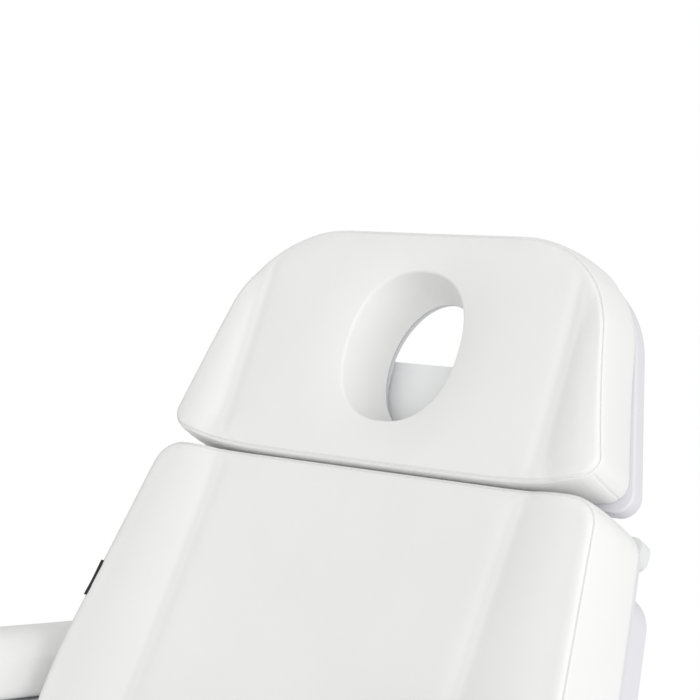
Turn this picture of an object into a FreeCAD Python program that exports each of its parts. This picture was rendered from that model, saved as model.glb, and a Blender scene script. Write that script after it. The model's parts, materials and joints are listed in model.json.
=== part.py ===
import FreeCAD, Part
import json
import math
import os
from FreeCAD import Placement, Rotation, Vector

# Units are millimetres and degrees. Every group is drawn lying flat in its own frame:
# x across the chair, y towards the head, z up out of the upholstery. It is then turned
# about x to its rest angle and moved to its pivot. The chair faces -Y.

# Rest angles of each group's y direction above the horizontal
seat_angle = -9.0
backrest_angle = 57.5
headrest_angle = 63.0
legrest_drop = 45.0

# Upholstery
cushion_thickness = 75.0
hinge_depth = 50.0
board_thickness = 8.0
board_inset = 4.0
cushion_draft = 8.0
seam_offset = 202.0
seam_width = 4.0
seam_depth = 5.0
panel_crown = 4.0
bolster_rise = 9.0
bolster_edge = 4.0
junction_round = 52.0

# Backrest
backrest_length = 555.0
backrest_start = 6.0
backrest_top_half = 280.0
backrest_waist_half = 318.0
backrest_foot_inset = 14.0
backrest_waist = 265.0
backrest_waist_round = 500.0
backrest_corner = 30.0
backrest_top_flare = 5.0
backrest_waist_flare = 14.0
backrest_board_inset = 1.0
shell_depth = 23.0
shell_wall = 4.0
shell_top_gap = 54.0
shell_flare = 5.0
back_foot_low = 18.0
back_foot_high = 44.0
beam_height = 29.0
beam_depth = 21.0
beam_overhang = 13.0
beam_round = 10.0
tag_length = 42.0
tag_from_top = 146.0
tag_reach = 8.0
tag_thickness = 1.0

# Headrest
headrest_gap = 8.0
headrest_step = 5.0
headrest_height = 261.0
headrest_bottom_half = 273.0
headrest_top_half = 216.0
headrest_draft = 2.0
headrest_corner = 116.0
headrest_low_corner = 18.0
headrest_cushion_depth = 66.0
headrest_board_depth = 21.0
headrest_board_round = 3.0
headrest_board_flare = 8.0
hole_middle = 129.0
hole_half_width = 66.0
hole_half_height = 86.0
hole_lip = 12.0
hole_taper = 4.0
hole_sill = 8.0
hole_flare = 14.0
bracket_half_width = 100.0
bracket_top = 143.0
bracket_thickness = 6.0
bracket_space = 10.0
guide_length = 192.0
guide_lip = 4.0
lug_inner = 70.0
barrel_radius = 8.0
headrest_pin_radius = 5.0
pin_from_beam_back = 6.0

# Seat
seat_length = 513.0
seat_start = 33.0
seat_half = 298.0
seat_corner = 36.0
rail_height = 30.0
rail_width = 25.0
rail_inset = 58.0
pan_thickness = 3.0
cross_ahead = 135.0
front_cross_ahead = 440.0
skirt_height = 39.0
skirt_inset = 12.0
panel_joint = 0.6
cap_step = 4.0
cap_boss = 3.0
ear_thickness = 8.0
ear_radius = 20.0
hinge_pin_radius = 8.0
bush_wall = 3.0
tilt_ahead = 270.0
tilt_below = 95.0
tilt_lug_inset = 13.0
tilt_lug_plate = 12.0
tilt_rail_width = 16.0

# Armrests
armrest_gap = 47.0
armrest_width = 78.0
armrest_pad_height = 75.0
armrest_top = 306.0
armrest_front = 265.0
armrest_rear = 205.0
armrest_pivot_back = 60.0
armrest_tray = 14.0
armrest_hub = 18.0
armrest_hub_gap = 4.0
armrest_end_share = 0.46
armrest_pin_radius = 6.0
bracket_plate = 10.0
bracket_inset = 7.0
pin_head = 4.0

# Leg rests
legrest_length = 462.0
legrest_start = 6.0
legrest_inner = 9.0
legrest_side_inset = 6.0
legrest_corner = 40.0
legrest_pad_height = 65.0
legrest_gap = 22.0
legrest_axle_depth = 100.0
swing_from_rail = 22.0
axle_radius = 12.0
sleeve_wall = 5.0
sleeve_length = 46.0
hub_wall = 6.0
collar_inset = 32.0
collar_width = 8.0
socket_wall = 7.0
socket_drop = 42.0
socket_gap = 8.0
socket_arm_half = 11.0
socket_arm_root = 35.0
legrest_rail_height = 22.0
legrest_rail_width = 26.0
legrest_rail_end = 70.0
legrest_tie = 25.0
legrest_shell_wall = 3.0
legrest_shell_inset = 10.0
legrest_shell_draw = 14.0
legrest_shell_gap = 5.0

# Base and column
foot_height = 30.0
foot_pad_radius = 27.0
foot_pad_height = 14.0
foot_recess = 4.0
stud_radius = 6.0
nut_radius = 10.0
nut_height = 8.0
foot_side_inset = 65.0
foot_end_inset = 100.0
base_length = 720.0
base_width = 470.0
base_corner = 130.0
base_wall = 4.0
base_side = 60.0
base_rise = 105.0
base_plate = 5.0
base_gap = 22.0
base_rail_width = 40.0
base_rail_inset = 80.0
collar_wall = 24.0
collar_corner = 30.0
column_gap = 3.0
sleeve_plate = 8.0
collar_rise = 30.0
control_box_size = (180.0, 120.0, 50.0)
control_box_inset = 90.0
socket_depth = 24.0
inlet_x = 45.0
inlet_width = 50.0
inlet_height = 22.0
inlet_recess_half = (19.0, 6.0)
jack_x = -45.0
jack_radius = 11.0
jack_hole_radius = 6.0
screw_end_inset = 180.0
screw_height = 45.0
screw_radius = 5.0
column_x = 170.0
column_y = 130.0
column_round = 22.0
column_wall = 5.0
column_clearance = 4.0
column_length = 275.0
column_step = 18.0
glide_half = 25.0
glide_height = 40.0
head_plate = 12.0
tilt_pivot_rise = 52.0
tilt_shaft_radius = 10.0
lug_share = 2.2
head_ear_inset = 29.0
head_margin = 14.0
head_side_inset = 16.0
tongue_half = 36.0
tongue_corner = 20.0
head_corner = 10.0

# Actuators
back_rod_x = 118.0
back_pin_depth = 90.0
back_pin_per_radian = 101.0
back_mid_angle = 38.5
tilt_arm = 150.0
rod_radius = 10.0
rod_pin_radius = 5.0
slot_play = 3.4
lever_plate = 7.0
slot_reach = 1.25
pin_play = 0.5
eye_wall = 3.0
tube_wall = 7.0
saddle_wall = 12.0
saddle_width = 15.0
saddle_places = (25.0, 180.0)
back_tube_gap = 5.0
back_tube_length = 205.0
back_rod_length = 250.0
motor_radius = 23.0
motor_length = 110.0
motor_gap = 6.0
gearbox_length = 55.0
gearbox_below = 27.0
gearbox_wall = 2.0
gearbox_corner = 8.0
tilt_body_wall = 16.0
tilt_body_length = 150.0
tilt_flange = 8.0
tilt_flange_height = 6.0
tilt_motor_half = 30.0
tilt_motor_front = 62.0
tilt_motor_rear = 20.0
tilt_motor_height = 55.0
tilt_bore_depth = 90.0
tilt_rod_depth = 60.0
lift_motor = (54.0, 34.0, 65.0)
lift_radii = (28.0, 24.0, 18.0)
lift_tube_length = 190.0
lift_stage_length = 200.0
lift_stage_rise = 10.0

# Clearances
running_fit = 0.05
slide_fit = 0.2
side_gap = 2.0
weld_overlap = 4.0

# How far a cutting shape reaches past what it cuts
past = 1.0

# Half the clear width of the forks that straddle the push rods
fork_half = rod_radius + side_gap

# Places across and along the chair that follow the seat's and the base's size
rail_half = seat_half - rail_inset
backrest_bottom_half = seat_half - backrest_foot_inset
armrest_inner = seat_half + armrest_gap
armrest_plate_x = armrest_inner + bracket_inset
legrest_outer = seat_half - legrest_side_inset
legrest_ahead = seat_start + seat_length + legrest_gap
swing_offset = rail_half + swing_from_rail
foot_x = base_width / 2 - foot_side_inset
foot_y = base_length / 2 - foot_end_inset
floor_top = foot_height + base_plate

# Heights shared by the groups, measured from the hinge axis in a flat lying group
cushion_back = hinge_depth - cushion_thickness
board_back = cushion_back - board_thickness
pan_back = board_back - pan_thickness
rail_back = pan_back - rail_height
shell_back = board_back - shell_depth
frame_back = shell_back + shell_wall


def rounded_wire(corners, z=0.0):
    """Closed wire at height z through (x, y, radius) corners, each rounded by a tangent arc."""
    count = len(corners)
    turns = []
    for index, (x, y, radius) in enumerate(corners):
        here = Vector(x, y, z)
        come = (here - Vector(*corners[index - 1][:2], z)).normalize()
        leave = (Vector(*corners[(index + 1) % count][:2], z) - here).normalize()
        half_turn = come.getAngle(leave) / 2
        reach = radius * math.tan(half_turn)
        inward = (leave - come).normalize()
        middle = here + inward * (radius / math.cos(half_turn) - radius)
        turns.append((here - come * reach, middle, here + leave * reach))
    edges = []
    for index, (start, middle, end) in enumerate(turns):
        if (end - start).Length > 1e-6:
            edges.append(Part.Arc(start, middle, end).toShape())
        following = turns[(index + 1) % count][0]
        if (following - end).Length > 1e-6:
            edges.append(Part.makeLine(end, following))
    return Part.Wire(edges)


def slab(corners, low, high):
    """Plate with a rounded outline between two heights."""
    return Part.Face(rounded_wire(corners, low)).extrude(Vector(0, 0, high - low))


def loft(*sections):
    """Straight-sided solid through outlines given as (corners, height)."""
    return Part.makeLoft([rounded_wire(corners, height) for corners, height in sections], True, True)


def box(x0, x1, y0, y1, z0, z1):
    """Box between two corners."""
    return Part.makeBox(x1 - x0, y1 - y0, z1 - z0, Vector(x0, y0, z0))


def bar(start, end, radius):
    """Round bar between two points."""
    start, end = Vector(*start), Vector(*end)
    return Part.makeCylinder(radius, (end - start).Length, start, end - start)


def cross_bar(x0, x1, y, z, radius):
    """Round bar along x."""
    return bar((x0, y, z), (x1, y, z), radius)


def side_plate(corners, x0, x1):
    """Plate lying across x, its outline given as (y, z, radius) corners."""
    plate = slab(corners, 0, x1 - x0)
    plate.Placement = Placement(Vector(x0, 0, 0), Rotation(Vector(1, 1, 1), 120))
    return plate


def strap(start, end, radius, x0, x1):
    """Plate across x with round ends about two (y, z) points."""
    start, end = Vector(*start, 0), Vector(*end, 0)
    along = (end - start).normalize() * radius
    across = Vector(-along.y, along.x, 0)
    points = (start - along - across, end + along - across, end + along + across, start - along + across)
    return side_plate([(p.x, p.y, radius * 0.999) for p in points], x0, x1)


def rectangle(half_x, half_y, radius, x=0.0, y=0.0):
    """Corners of a rounded rectangle about a point."""
    return [(x + sx * half_x, y + sy * half_y, radius) for sx, sy in ((-1, -1), (1, -1), (1, 1), (-1, 1))]


def span(x0, x1, y0, y1, radius):
    """Corners of a rounded rectangle between two corners."""
    return rectangle((x1 - x0) / 2, (y1 - y0) / 2, radius, (x0 + x1) / 2, (y0 + y1) / 2)


def mirrored(shape):
    """The same shape on the other side of the chair."""
    return shape.mirror(Vector(0, 0, 0), Vector(1, 0, 0))


def both(shape):
    """The shape and its mirror image as separate solids."""
    return Part.makeCompound([shape, mirrored(shape)])


def joined(*shapes):
    """One solid from pieces that overlap or touch."""
    return shapes[0].fuse(list(shapes[1:])).removeSplitter()


def with_mirror(*shapes):
    """The shapes followed by their mirror images."""
    return list(shapes) + [mirrored(shape) for shape in shapes]


def channelled_block(half, start, end, bottom, top, start_round, end_round):
    """Upholstery block along y: crowned panel, two seam grooves, bolsters raised as wings, rounded ends."""
    inner = seam_offset - seam_width
    outer = seam_offset + seam_width
    swell = top + bolster_rise

    def at(x, z):
        return Vector(x, start, z)

    def bolster(side):
        edge = at(side * half, top + bolster_edge)
        middle = at(side * (half + outer) / 2, top + (bolster_rise + bolster_edge) / 2)
        return Part.Arc(edge, middle, at(side * outer, top)).toShape()

    def groove(side):
        floor = at(side * seam_offset, top - seam_depth)
        return [Part.makeLine(at(side * outer, top), floor), Part.makeLine(floor, at(side * inner, top))]

    panel = Part.Arc(at(inner, top), at(0, top + panel_crown), at(-inner, top)).toShape()
    base = Part.makePolygon([at(-half, top + bolster_edge), at(-half, bottom), at(half, bottom),
                             at(half, top + bolster_edge)]).Edges
    edges = base + [bolster(1)] + groove(1) + [panel] + groove(-1) + [bolster(-1)]
    section = Part.Face(Part.Wire(Part.__sortEdges__(edges))).extrude(Vector(0, end - start, 0))
    ends = side_plate([(start, bottom, 0), (end, bottom, 0), (end, swell, end_round),
                       (start, swell, start_round)], -half, half)
    return section.common(ends)


def crowned_pad(x0, x1, y0, y1, bottom, top, corner, end_round):
    """Plain pad: sides drawn in towards the top, crowned across x, rounded ends."""
    edge = top - 2 * panel_crown
    left, right = x0 - side_gap, x1 + side_gap
    front, rear = y0 - side_gap, y1 + side_gap

    def at(x, z):
        return Vector(x, front, z)

    sides = Part.makePolygon([at(left, edge), at(left, bottom), at(right, bottom), at(right, edge)]).Edges
    crown = Part.Arc(at(right, edge), at((x0 + x1) / 2, top), at(left, edge)).toShape()
    section = Part.Face(Part.Wire(Part.__sortEdges__(sides + [crown]))).extrude(Vector(0, rear - front, 0))
    ends = side_plate([(front, bottom, 0), (rear, bottom, 0), (rear, top, end_round), (front, top, end_round)],
                      left, right)
    drawn = cushion_draft / 2
    body = loft((span(x0, x1, y0, y1, corner), bottom),
                (span(x0 + drawn, x1 - drawn, y0 + drawn, y1 - drawn, corner - drawn), top))
    return body.common(section.common(ends))


def backrest_half(y, flared=False):
    """Half width of the backrest above its waist, at its front edge or at its flared rear edge."""
    top_half = backrest_top_half + (backrest_top_flare if flared else 0)
    waist_half = backrest_waist_half + (backrest_waist_flare if flared else 0)
    slope = (waist_half - top_half) / (backrest_length - backrest_waist)
    return top_half + slope * (backrest_length - y)


def backrest_outline(inset=0.0, top=backrest_length, flared=False):
    """Backrest outline, widest at the waist, drawn in by an even inset. Its rear edge is flared."""
    corner = max(backrest_corner - inset, shell_wall)
    right = [(backrest_bottom_half - inset, backrest_start + max(inset, 0), corner),
             (backrest_half(backrest_waist, flared) - inset, backrest_waist, backrest_waist_round),
             (backrest_half(top, flared) - inset, top - max(inset, 0), corner)]
    left = [(-x, y, radius) for x, y, radius in reversed(right)]
    return right + left


def headrest_outline(inset=0.0):
    """Headrest outline: a trapezium with large upper corners, drawn in by an even inset."""
    right = [(headrest_bottom_half - inset, max(inset, 0), max(headrest_low_corner - inset, shell_wall)),
             (headrest_top_half - inset, headrest_height - inset, headrest_corner - inset)]
    left = [(-x, y, radius) for x, y, radius in reversed(right)]
    return right + left


def oval(extra, z):
    """Oval of the face hole at height z, wider than its throat by an even amount."""
    centre = Vector(0, hole_middle, z)
    tall = centre + Vector(0, hole_half_height + extra, 0)
    wide = centre + Vector(hole_half_width + extra, 0, 0)
    return Part.Wire([Part.Ellipse(tall, wide, centre).toShape()])


def headrest_axis():
    """Headrest hinge axis in the backrest's frame: just above the beam, near its rear face."""
    beam_back = board_back - beam_depth
    return Vector(0, backrest_length + barrel_radius - side_gap / 2, beam_back + pin_from_beam_back)


def hinge_ear_inner():
    """Inner face of the backrest's hinge ears, just outside both cushions."""
    return seat_half + side_gap


def seat_ear_inner():
    """Inner face of the seat's hinge ears, just outside the backrest's ears."""
    return hinge_ear_inner() + ear_thickness + side_gap / 2


def lever_direction():
    """Direction of the slotted lever in the backrest's frame, straight down at mid recline."""
    angle = math.radians(back_mid_angle)
    return Vector(0, -math.sin(angle), -math.cos(angle))


def backrest_group():
    """Pieces of the backrest, their origin on the back hinge axis."""
    rim = loft((backrest_outline(-cushion_draft, flared=True), cushion_back),
               (backrest_outline(), hinge_depth + bolster_rise))
    half = backrest_half(backrest_waist, flared=True) + cushion_draft
    block = channelled_block(half, backrest_start, backrest_length, cushion_back, hinge_depth,
                             junction_round, backrest_corner)
    cushion = rim.common(block)
    board = slab(backrest_outline(backrest_board_inset - cushion_draft, flared=True), board_back, cushion_back)
    return {"backrest_cushion": cushion, "backrest_board": board, "backrest_shell": backrest_shell(),
            "backrest_frame": backrest_frame(), "headrest_beam": headrest_beam(),
            "back_hinge_bushes": back_hinge_bushes(), "side_tag": side_tag().cut(cushion)}


def side_tag():
    """Small woven tag that stands out of the backrest's side seam."""
    high = backrest_length - tag_from_top
    low = high - tag_length
    front = hinge_depth + bolster_edge
    corners = [(-backrest_half(y) - reach, y, 0)
               for y, reach in ((low, tag_reach), (low, -tag_reach), (high, -tag_reach), (high, tag_reach))]
    return slab(corners, front - tag_thickness, front)


def backrest_shell():
    """Rear shell: a shallow tray behind the board, cut away for the hinge ears and the lever."""
    top = backrest_length - shell_top_gap
    rim = backrest_board_inset - cushion_draft
    low, high = shell_back - past, board_back + past
    outer = loft((backrest_outline(rim - shell_flare, top, True), shell_back),
                 (backrest_outline(rim, top, True), board_back))
    inner = loft((backrest_outline(rim - shell_flare + shell_wall, top, True), shell_back + shell_wall),
                 (backrest_outline(rim + shell_wall, top, True), board_back))
    reach = 2.5 * ear_radius
    ear_room = box(seam_offset + 2 * rail_width, backrest_waist_half + shell_depth, -reach, reach, low, high)
    lever_half = fork_half + lever_plate + side_gap
    lever_room = box(back_rod_x - lever_half, back_rod_x + lever_half, 0, reach, low, high)
    rail_room = box(seam_offset - side_gap, seam_offset + rail_width + side_gap,
                    top - 2 * rail_width, top + past, shell_back + shell_wall, high)
    shell = outer.cut(inner)
    for room in with_mirror(ear_room, rail_room) + [lever_room]:
        shell = shell.cut(room)
    return shell


def backrest_frame():
    """Steel frame behind the board: two rails, cross bars, hinge ears and the slotted lever."""
    neck = backrest_length - shell_top_gap
    outer = seam_offset + rail_width
    rail_end = backrest_length - side_gap - beam_height
    rail = box(seam_offset, outer, back_foot_low, rail_end, frame_back, board_back)
    foot = box(-outer, outer, back_foot_low, back_foot_high, frame_back, board_back)
    head = box(-outer, outer, neck - 2 * rail_width, neck - rail_width, frame_back, board_back)
    ear_x = hinge_ear_inner()
    ear_end = ear_x + ear_thickness
    wing = box(seam_offset, ear_end, back_foot_low, back_foot_high, frame_back, board_back - side_gap / 2)
    foot_middle = (back_foot_low + back_foot_high) / 2
    ear_half = ear_radius - side_gap
    ear = strap((0, 0), (foot_middle, frame_back + ear_half), ear_half, ear_x, ear_end)
    bore = cross_bar(ear_x - past, ear_end + past, 0, 0, hinge_pin_radius + bush_wall)
    ear = joined(ear, wing).cut(bore)
    return joined(foot, head, *with_mirror(rail, ear), *slotted_lever(foot_middle))


def slotted_lever(foot_middle):
    """Two plates whose radial slot takes the back actuator's pin over its straight travel."""
    along = lever_direction()
    near, far = along * back_pin_depth, along * back_pin_depth * slot_reach
    slot_half = rod_pin_radius + slot_play
    plate_half = slot_half + lever_plate
    start, end = (near.y, near.z), (far.y, far.z)
    root = (foot_middle, board_back - plate_half)
    plates = []
    for x in (back_rod_x - fork_half - lever_plate, back_rod_x + fork_half):
        arm = joined(strap(root, start, plate_half - side_gap, x, x + lever_plate),
                     strap(start, end, plate_half, x, x + lever_plate))
        plates.append(arm.cut(strap(start, end, slot_half, x - past, x + lever_plate + past)))
    return plates


def headrest_beam():
    """Hinge beam across the top of the backrest, with two lugs for the headrest's pin."""
    high = backrest_length - side_gap
    low = high - beam_height
    half = backrest_top_half + beam_overhang
    beam = slab(span(-half, half, low, high, beam_round), board_back - beam_depth, board_back)
    axis = headrest_axis()
    lug_end = lug_inner + 2 * barrel_radius
    lug_foot = (low + beam_height / 2, axis.z + side_gap / 2)
    lug = strap(lug_foot, (axis.y, axis.z), barrel_radius, lug_inner, lug_end)
    lug = lug.cut(cross_bar(lug_inner - past, lug_end + past, axis.y, axis.z, headrest_pin_radius))
    return joined(beam, *with_mirror(lug))


def back_hinge_bushes():
    """Plain bushes pressed into the backrest's ears."""
    start, end = hinge_ear_inner(), hinge_ear_inner() + ear_thickness
    bush = cross_bar(start, end, 0, 0, hinge_pin_radius + bush_wall)
    return both(bush.cut(cross_bar(start, end, 0, 0, hinge_pin_radius + running_fit)))


def headrest_group():
    """Pieces of the headrest, their origin at the middle of its lower front edge."""
    back = -headrest_cushion_depth
    plate_back = back - headrest_board_depth
    rim = loft((headrest_outline(-headrest_draft), back), (headrest_outline(), bolster_rise))
    block = channelled_block(headrest_bottom_half + headrest_draft, 0, headrest_height + headrest_draft, back, 0,
                             headrest_low_corner, headrest_low_corner)
    throat = Part.makeLoft([oval(-hole_taper, back), oval(0, -2 * hole_lip), oval(hole_lip, 0),
                            oval(2 * hole_lip, bolster_rise)], True, True)
    cushion = rim.common(block).cut(throat)
    rear = -headrest_draft - headrest_board_flare
    board = loft((headrest_outline(rear + headrest_board_round), plate_back),
                 (headrest_outline(rear), plate_back + headrest_board_round),
                 (headrest_outline(-headrest_draft), back))
    board = board.cut(Part.Face(oval(-hole_taper, plate_back)).extrude(Vector(0, 0, headrest_board_depth)))
    board = board.cut(Part.makeLoft([oval(hole_flare - hole_taper, plate_back),
                                     oval(-hole_taper, back - hole_sill)], True, True))
    return {"headrest_cushion": cushion, "headrest_board": board,
            "headrest_guides": headrest_guides(plate_back)}


def headrest_guides(plate_back):
    """Two channels behind the board that slide on the bracket plate's edges."""
    plate_rear = plate_back - bracket_space - bracket_thickness - slide_fit
    inner, outer = bracket_half_width - 3 * guide_lip, bracket_half_width + 3 * guide_lip
    start, end = guide_lip, guide_lip + guide_length
    wall = box(bracket_half_width + slide_fit, outer, start, end, plate_rear - guide_lip, plate_back)
    hook = box(inner, outer, start, end, plate_rear - guide_lip, plate_rear)
    step = box(inner, outer, start, end, plate_back - bracket_space + slide_fit, plate_back)
    return both(joined(wall, hook, step))


def headrest_bracket(axis):
    """Plate behind the face hole with the hinge barrel, in the headrest's frame."""
    front = -headrest_cushion_depth - headrest_board_depth - bracket_space
    outline = span(-bracket_half_width, bracket_half_width, axis.y, bracket_top, bracket_thickness / 2)
    plate = slab(outline, front - bracket_thickness, front)
    half = lug_inner - side_gap / 2
    lug_room = box(half, bracket_half_width + past, axis.y - past, 2 * barrel_radius,
                   front - 4 * barrel_radius, front + past)
    barrel = cross_bar(-half, half, axis.y, axis.z, barrel_radius)
    plate = joined(plate.cut(lug_room).cut(mirrored(lug_room)), barrel)
    bore = cross_bar(-half - past, half + past, axis.y, axis.z, headrest_pin_radius + running_fit)
    return plate.cut(bore)


def seat_outline(inset=0.0):
    """Seat outline, drawn in by an even inset."""
    return span(-seat_half + inset, seat_half - inset, -seat_start - seat_length + inset, -seat_start - inset,
                max(seat_corner - inset, shell_wall))


def seat_group():
    """Pieces of the seat, their origin on the back hinge axis."""
    rim = loft((seat_outline(), cushion_back), (seat_outline(cushion_draft), hinge_depth + bolster_rise))
    block = channelled_block(seat_half, -seat_start - seat_length, -seat_start, cushion_back, hinge_depth,
                             seat_corner, junction_round)
    board = slab(seat_outline(board_inset), board_back, cushion_back)
    shaft_half = column_x / 2 + tilt_shaft_radius - side_gap
    shaft = cross_bar(-shaft_half, shaft_half, -tilt_ahead, -tilt_below, tilt_shaft_radius)
    ear_end = seat_ear_inner() + ear_thickness
    pin = cross_bar(hinge_ear_inner(), ear_end, 0, 0, hinge_pin_radius)
    cap_end = ear_end + cap_step
    cap = joined(cross_bar(ear_end, cap_end, 0, 0, ear_radius + cap_step),
                 cross_bar(cap_end, cap_end + cap_boss, 0, 0, ear_radius))
    return {"seat_cushion": rim.common(block), "seat_board": board, "seat_frame": seat_frame(),
            "seat_skirt": seat_skirt(), "tilt_shaft": shaft, "back_hinge_pins": both(pin),
            "back_hinge_caps": both(cap), "back_actuator": back_actuator(),
            "armrest_brackets": armrest_brackets(), "armrest_pins": armrest_pins()}


def seat_frame():
    """Steel pan with rails, hinge ears, tilt lugs, actuator saddles and leg rest sockets."""
    front = seat_start + seat_length - skirt_inset - 3 * shell_wall
    outer = rail_half + rail_width
    half = rail_height / 2
    pan = slab(span(-outer, outer, -front, -3 * ear_radius, shell_wall), pan_back, board_back)
    rail = box(rail_half, outer, -front, -3 * ear_radius, rail_back, pan_back)
    cross = box(-armrest_plate_x, armrest_plate_x, -cross_ahead - half, -cross_ahead + half,
                rail_back, pan_back - side_gap / 2)
    front_cross = box(-outer, outer, -front_cross_ahead - half, -front_cross_ahead + half, rail_back, pan_back)
    ear_x = seat_ear_inner()
    ear_end = ear_x + ear_thickness
    ear = strap((-cross_ahead, rail_back + half), (0, 0), ear_radius, ear_x, ear_end)
    ear = ear.cut(cross_bar(ear_x - past, ear_end + past, 0, 0, hinge_pin_radius))
    pieces = [pan, cross, front_cross] + with_mirror(rail, ear, tilt_lug(), legrest_socket(front))
    return joined(*pieces, *back_saddles(), *tilt_rod_lugs())


def tilt_lug():
    """Inner rail and lug that hold the tilt shaft."""
    x0 = column_x / 2 - tilt_lug_inset
    rail = box(x0, x0 + tilt_rail_width, -front_cross_ahead, -cross_ahead, rail_back, pan_back)
    lug = strap((-tilt_ahead, rail_back + weld_overlap), (-tilt_ahead, -tilt_below),
                lug_share * tilt_shaft_radius, x0, x0 + tilt_lug_plate)
    bore = cross_bar(x0 - past, x0 + tilt_rail_width + past, -tilt_ahead, -tilt_below, tilt_shaft_radius)
    return joined(rail, lug).cut(bore)


def legrest_socket(front):
    """Upright socket for the leg rest's swing post, on an arm below the skirt."""
    low, high = rail_back - socket_drop, rail_back - socket_gap
    rim = hinge_depth - legrest_axle_depth - axle_radius - weld_overlap - slide_fit

    def upright(z0, z1, radius):
        return bar((swing_offset, -legrest_ahead, z0), (swing_offset, -legrest_ahead, z1), radius)

    x0, x1 = swing_offset - socket_arm_half, rail_half + rail_width
    root = -front + socket_arm_root
    arm = box(x0, x1, -legrest_ahead + axle_radius, root, low + weld_overlap, high)
    drop = box(x0, x1, -front, root, high, rail_back + weld_overlap)
    socket = joined(upright(low, rim, axle_radius + socket_wall), arm, drop)
    return socket.cut(upright(low - past, rim + past, axle_radius + running_fit))


def back_saddles():
    """Two saddles under the pan that clamp the back actuator's tube."""
    half = rod_radius + saddle_wall
    tube = bar((back_rod_x, -front_cross_ahead, -back_pin_depth), (back_rod_x, 0, -back_pin_depth),
               rod_radius + tube_wall)
    saddles = []
    for place in saddle_places:
        rear = -cross_ahead - place
        block = box(back_rod_x - half, back_rod_x + half, rear - saddle_width, rear, -back_pin_depth, pan_back)
        saddles.append(block.cut(tube))
    return saddles


def tilt_pin_place():
    """Tilt rod's pin in the seat's frame, level with the tilt shaft at rest."""
    turn = math.radians(seat_angle)
    return -tilt_ahead - tilt_arm * math.cos(turn), -tilt_below + tilt_arm * math.sin(turn)


def tilt_rod_lugs():
    """Two lugs under the pan with a short slot for the tilt rod's pin."""
    y, z = tilt_pin_place()
    slot_half = rod_pin_radius + pin_play
    lugs = []
    for x in (-fork_half - lever_plate, fork_half):
        lug = strap((y, z), (-front_cross_ahead, rail_back + weld_overlap), slot_half + lever_plate,
                    x, x + lever_plate)
        slot = strap((y - slot_play, z), (y + slot_play, z), slot_half, x - past, x + lever_plate + past)
        lugs.append(lug.cut(slot))
    return lugs


def seat_skirt():
    """Plastic skirt under the seat board: a front and two side panels, notched for the cross tube."""
    low = board_back - skirt_height
    skirt = slab(seat_outline(skirt_inset), low, board_back)
    skirt = skirt.cut(slab(seat_outline(skirt_inset + shell_wall), low, board_back))
    notch_half = (rail_height + side_gap) / 2
    corner = -seat_start - seat_length + skirt_inset + seat_corner
    for start, end, high in ((-4 * ear_radius, 0, board_back + past),
                             (-cross_ahead - notch_half, -cross_ahead + notch_half, pan_back),
                             (corner, corner + panel_joint, board_back + past)):
        skirt = skirt.cut(box(-seat_half, seat_half, start, end, low - past, high))
    return skirt


def back_actuator():
    """Back actuator: screw tube, gearbox and a motor lying beside the tube."""
    tube_start = -cross_ahead - back_tube_gap
    tube_end = tube_start - back_tube_length
    tube_radius = rod_radius + tube_wall
    motor_x = back_rod_x + tube_radius + motor_radius + motor_gap

    def along(x, y0, y1, radius):
        return bar((x, y0, -back_pin_depth), (x, y1, -back_pin_depth), radius)

    gearbox = slab(span(back_rod_x - tube_radius - tube_wall, motor_x + motor_radius + gearbox_wall,
                        tube_end - gearbox_length, tube_end, gearbox_corner),
                   -back_pin_depth - gearbox_below, rail_back - side_gap / 2)
    body = joined(gearbox, along(back_rod_x, tube_end, tube_start, tube_radius),
                  along(motor_x, tube_end, tube_end + motor_length, motor_radius))
    return body.cut(along(back_rod_x, tube_end, tube_start + past, rod_radius + slide_fit))


def back_actuator_rod():
    """Push rod of the back actuator with its eye and pin, at the rest angle, in the seat's frame."""
    y = back_pin_per_radian * math.radians(backrest_angle - seat_angle - back_mid_angle)
    rod = bar((back_rod_x, y - back_rod_length, -back_pin_depth), (back_rod_x, y, -back_pin_depth), rod_radius)
    eye = cross_bar(back_rod_x - rod_radius, back_rod_x + rod_radius, y, -back_pin_depth, rod_radius + eye_wall)
    reach = fork_half + lever_plate + side_gap / 2
    pin = cross_bar(back_rod_x - reach, back_rod_x + reach, y, -back_pin_depth, rod_pin_radius)
    return joined(rod, eye, pin)


def armrest_pivot():
    """Armrest pivot in the seat's frame, far enough below the tray for its hub to turn."""
    return armrest_pivot_back, armrest_top - armrest_pad_height - armrest_tray - armrest_hub - armrest_hub_gap


def armrest_brackets():
    """Steel arms from the rear cross tube up to the armrests' pivots."""
    x0, x1 = armrest_plate_x, armrest_plate_x + bracket_plate
    foot = (-cross_ahead, rail_back + rail_height / 2)
    arm = strap(foot, armrest_pivot(), armrest_hub, x0, x1)
    return both(arm.cut(cross_bar(x0 - past, x1 + past, *armrest_pivot(), armrest_pin_radius)))


def armrest_pins():
    """Pivot pins fixed in the armrest brackets, with a flat head on the inner side."""
    x0 = armrest_plate_x
    shank = cross_bar(x0, x0 + 2 * bracket_plate + side_gap * 1.5, *armrest_pivot(), armrest_pin_radius)
    head = cross_bar(x0 - pin_head, x0, *armrest_pivot(), armrest_pin_radius + pin_head)
    return both(joined(shank, head))


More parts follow.
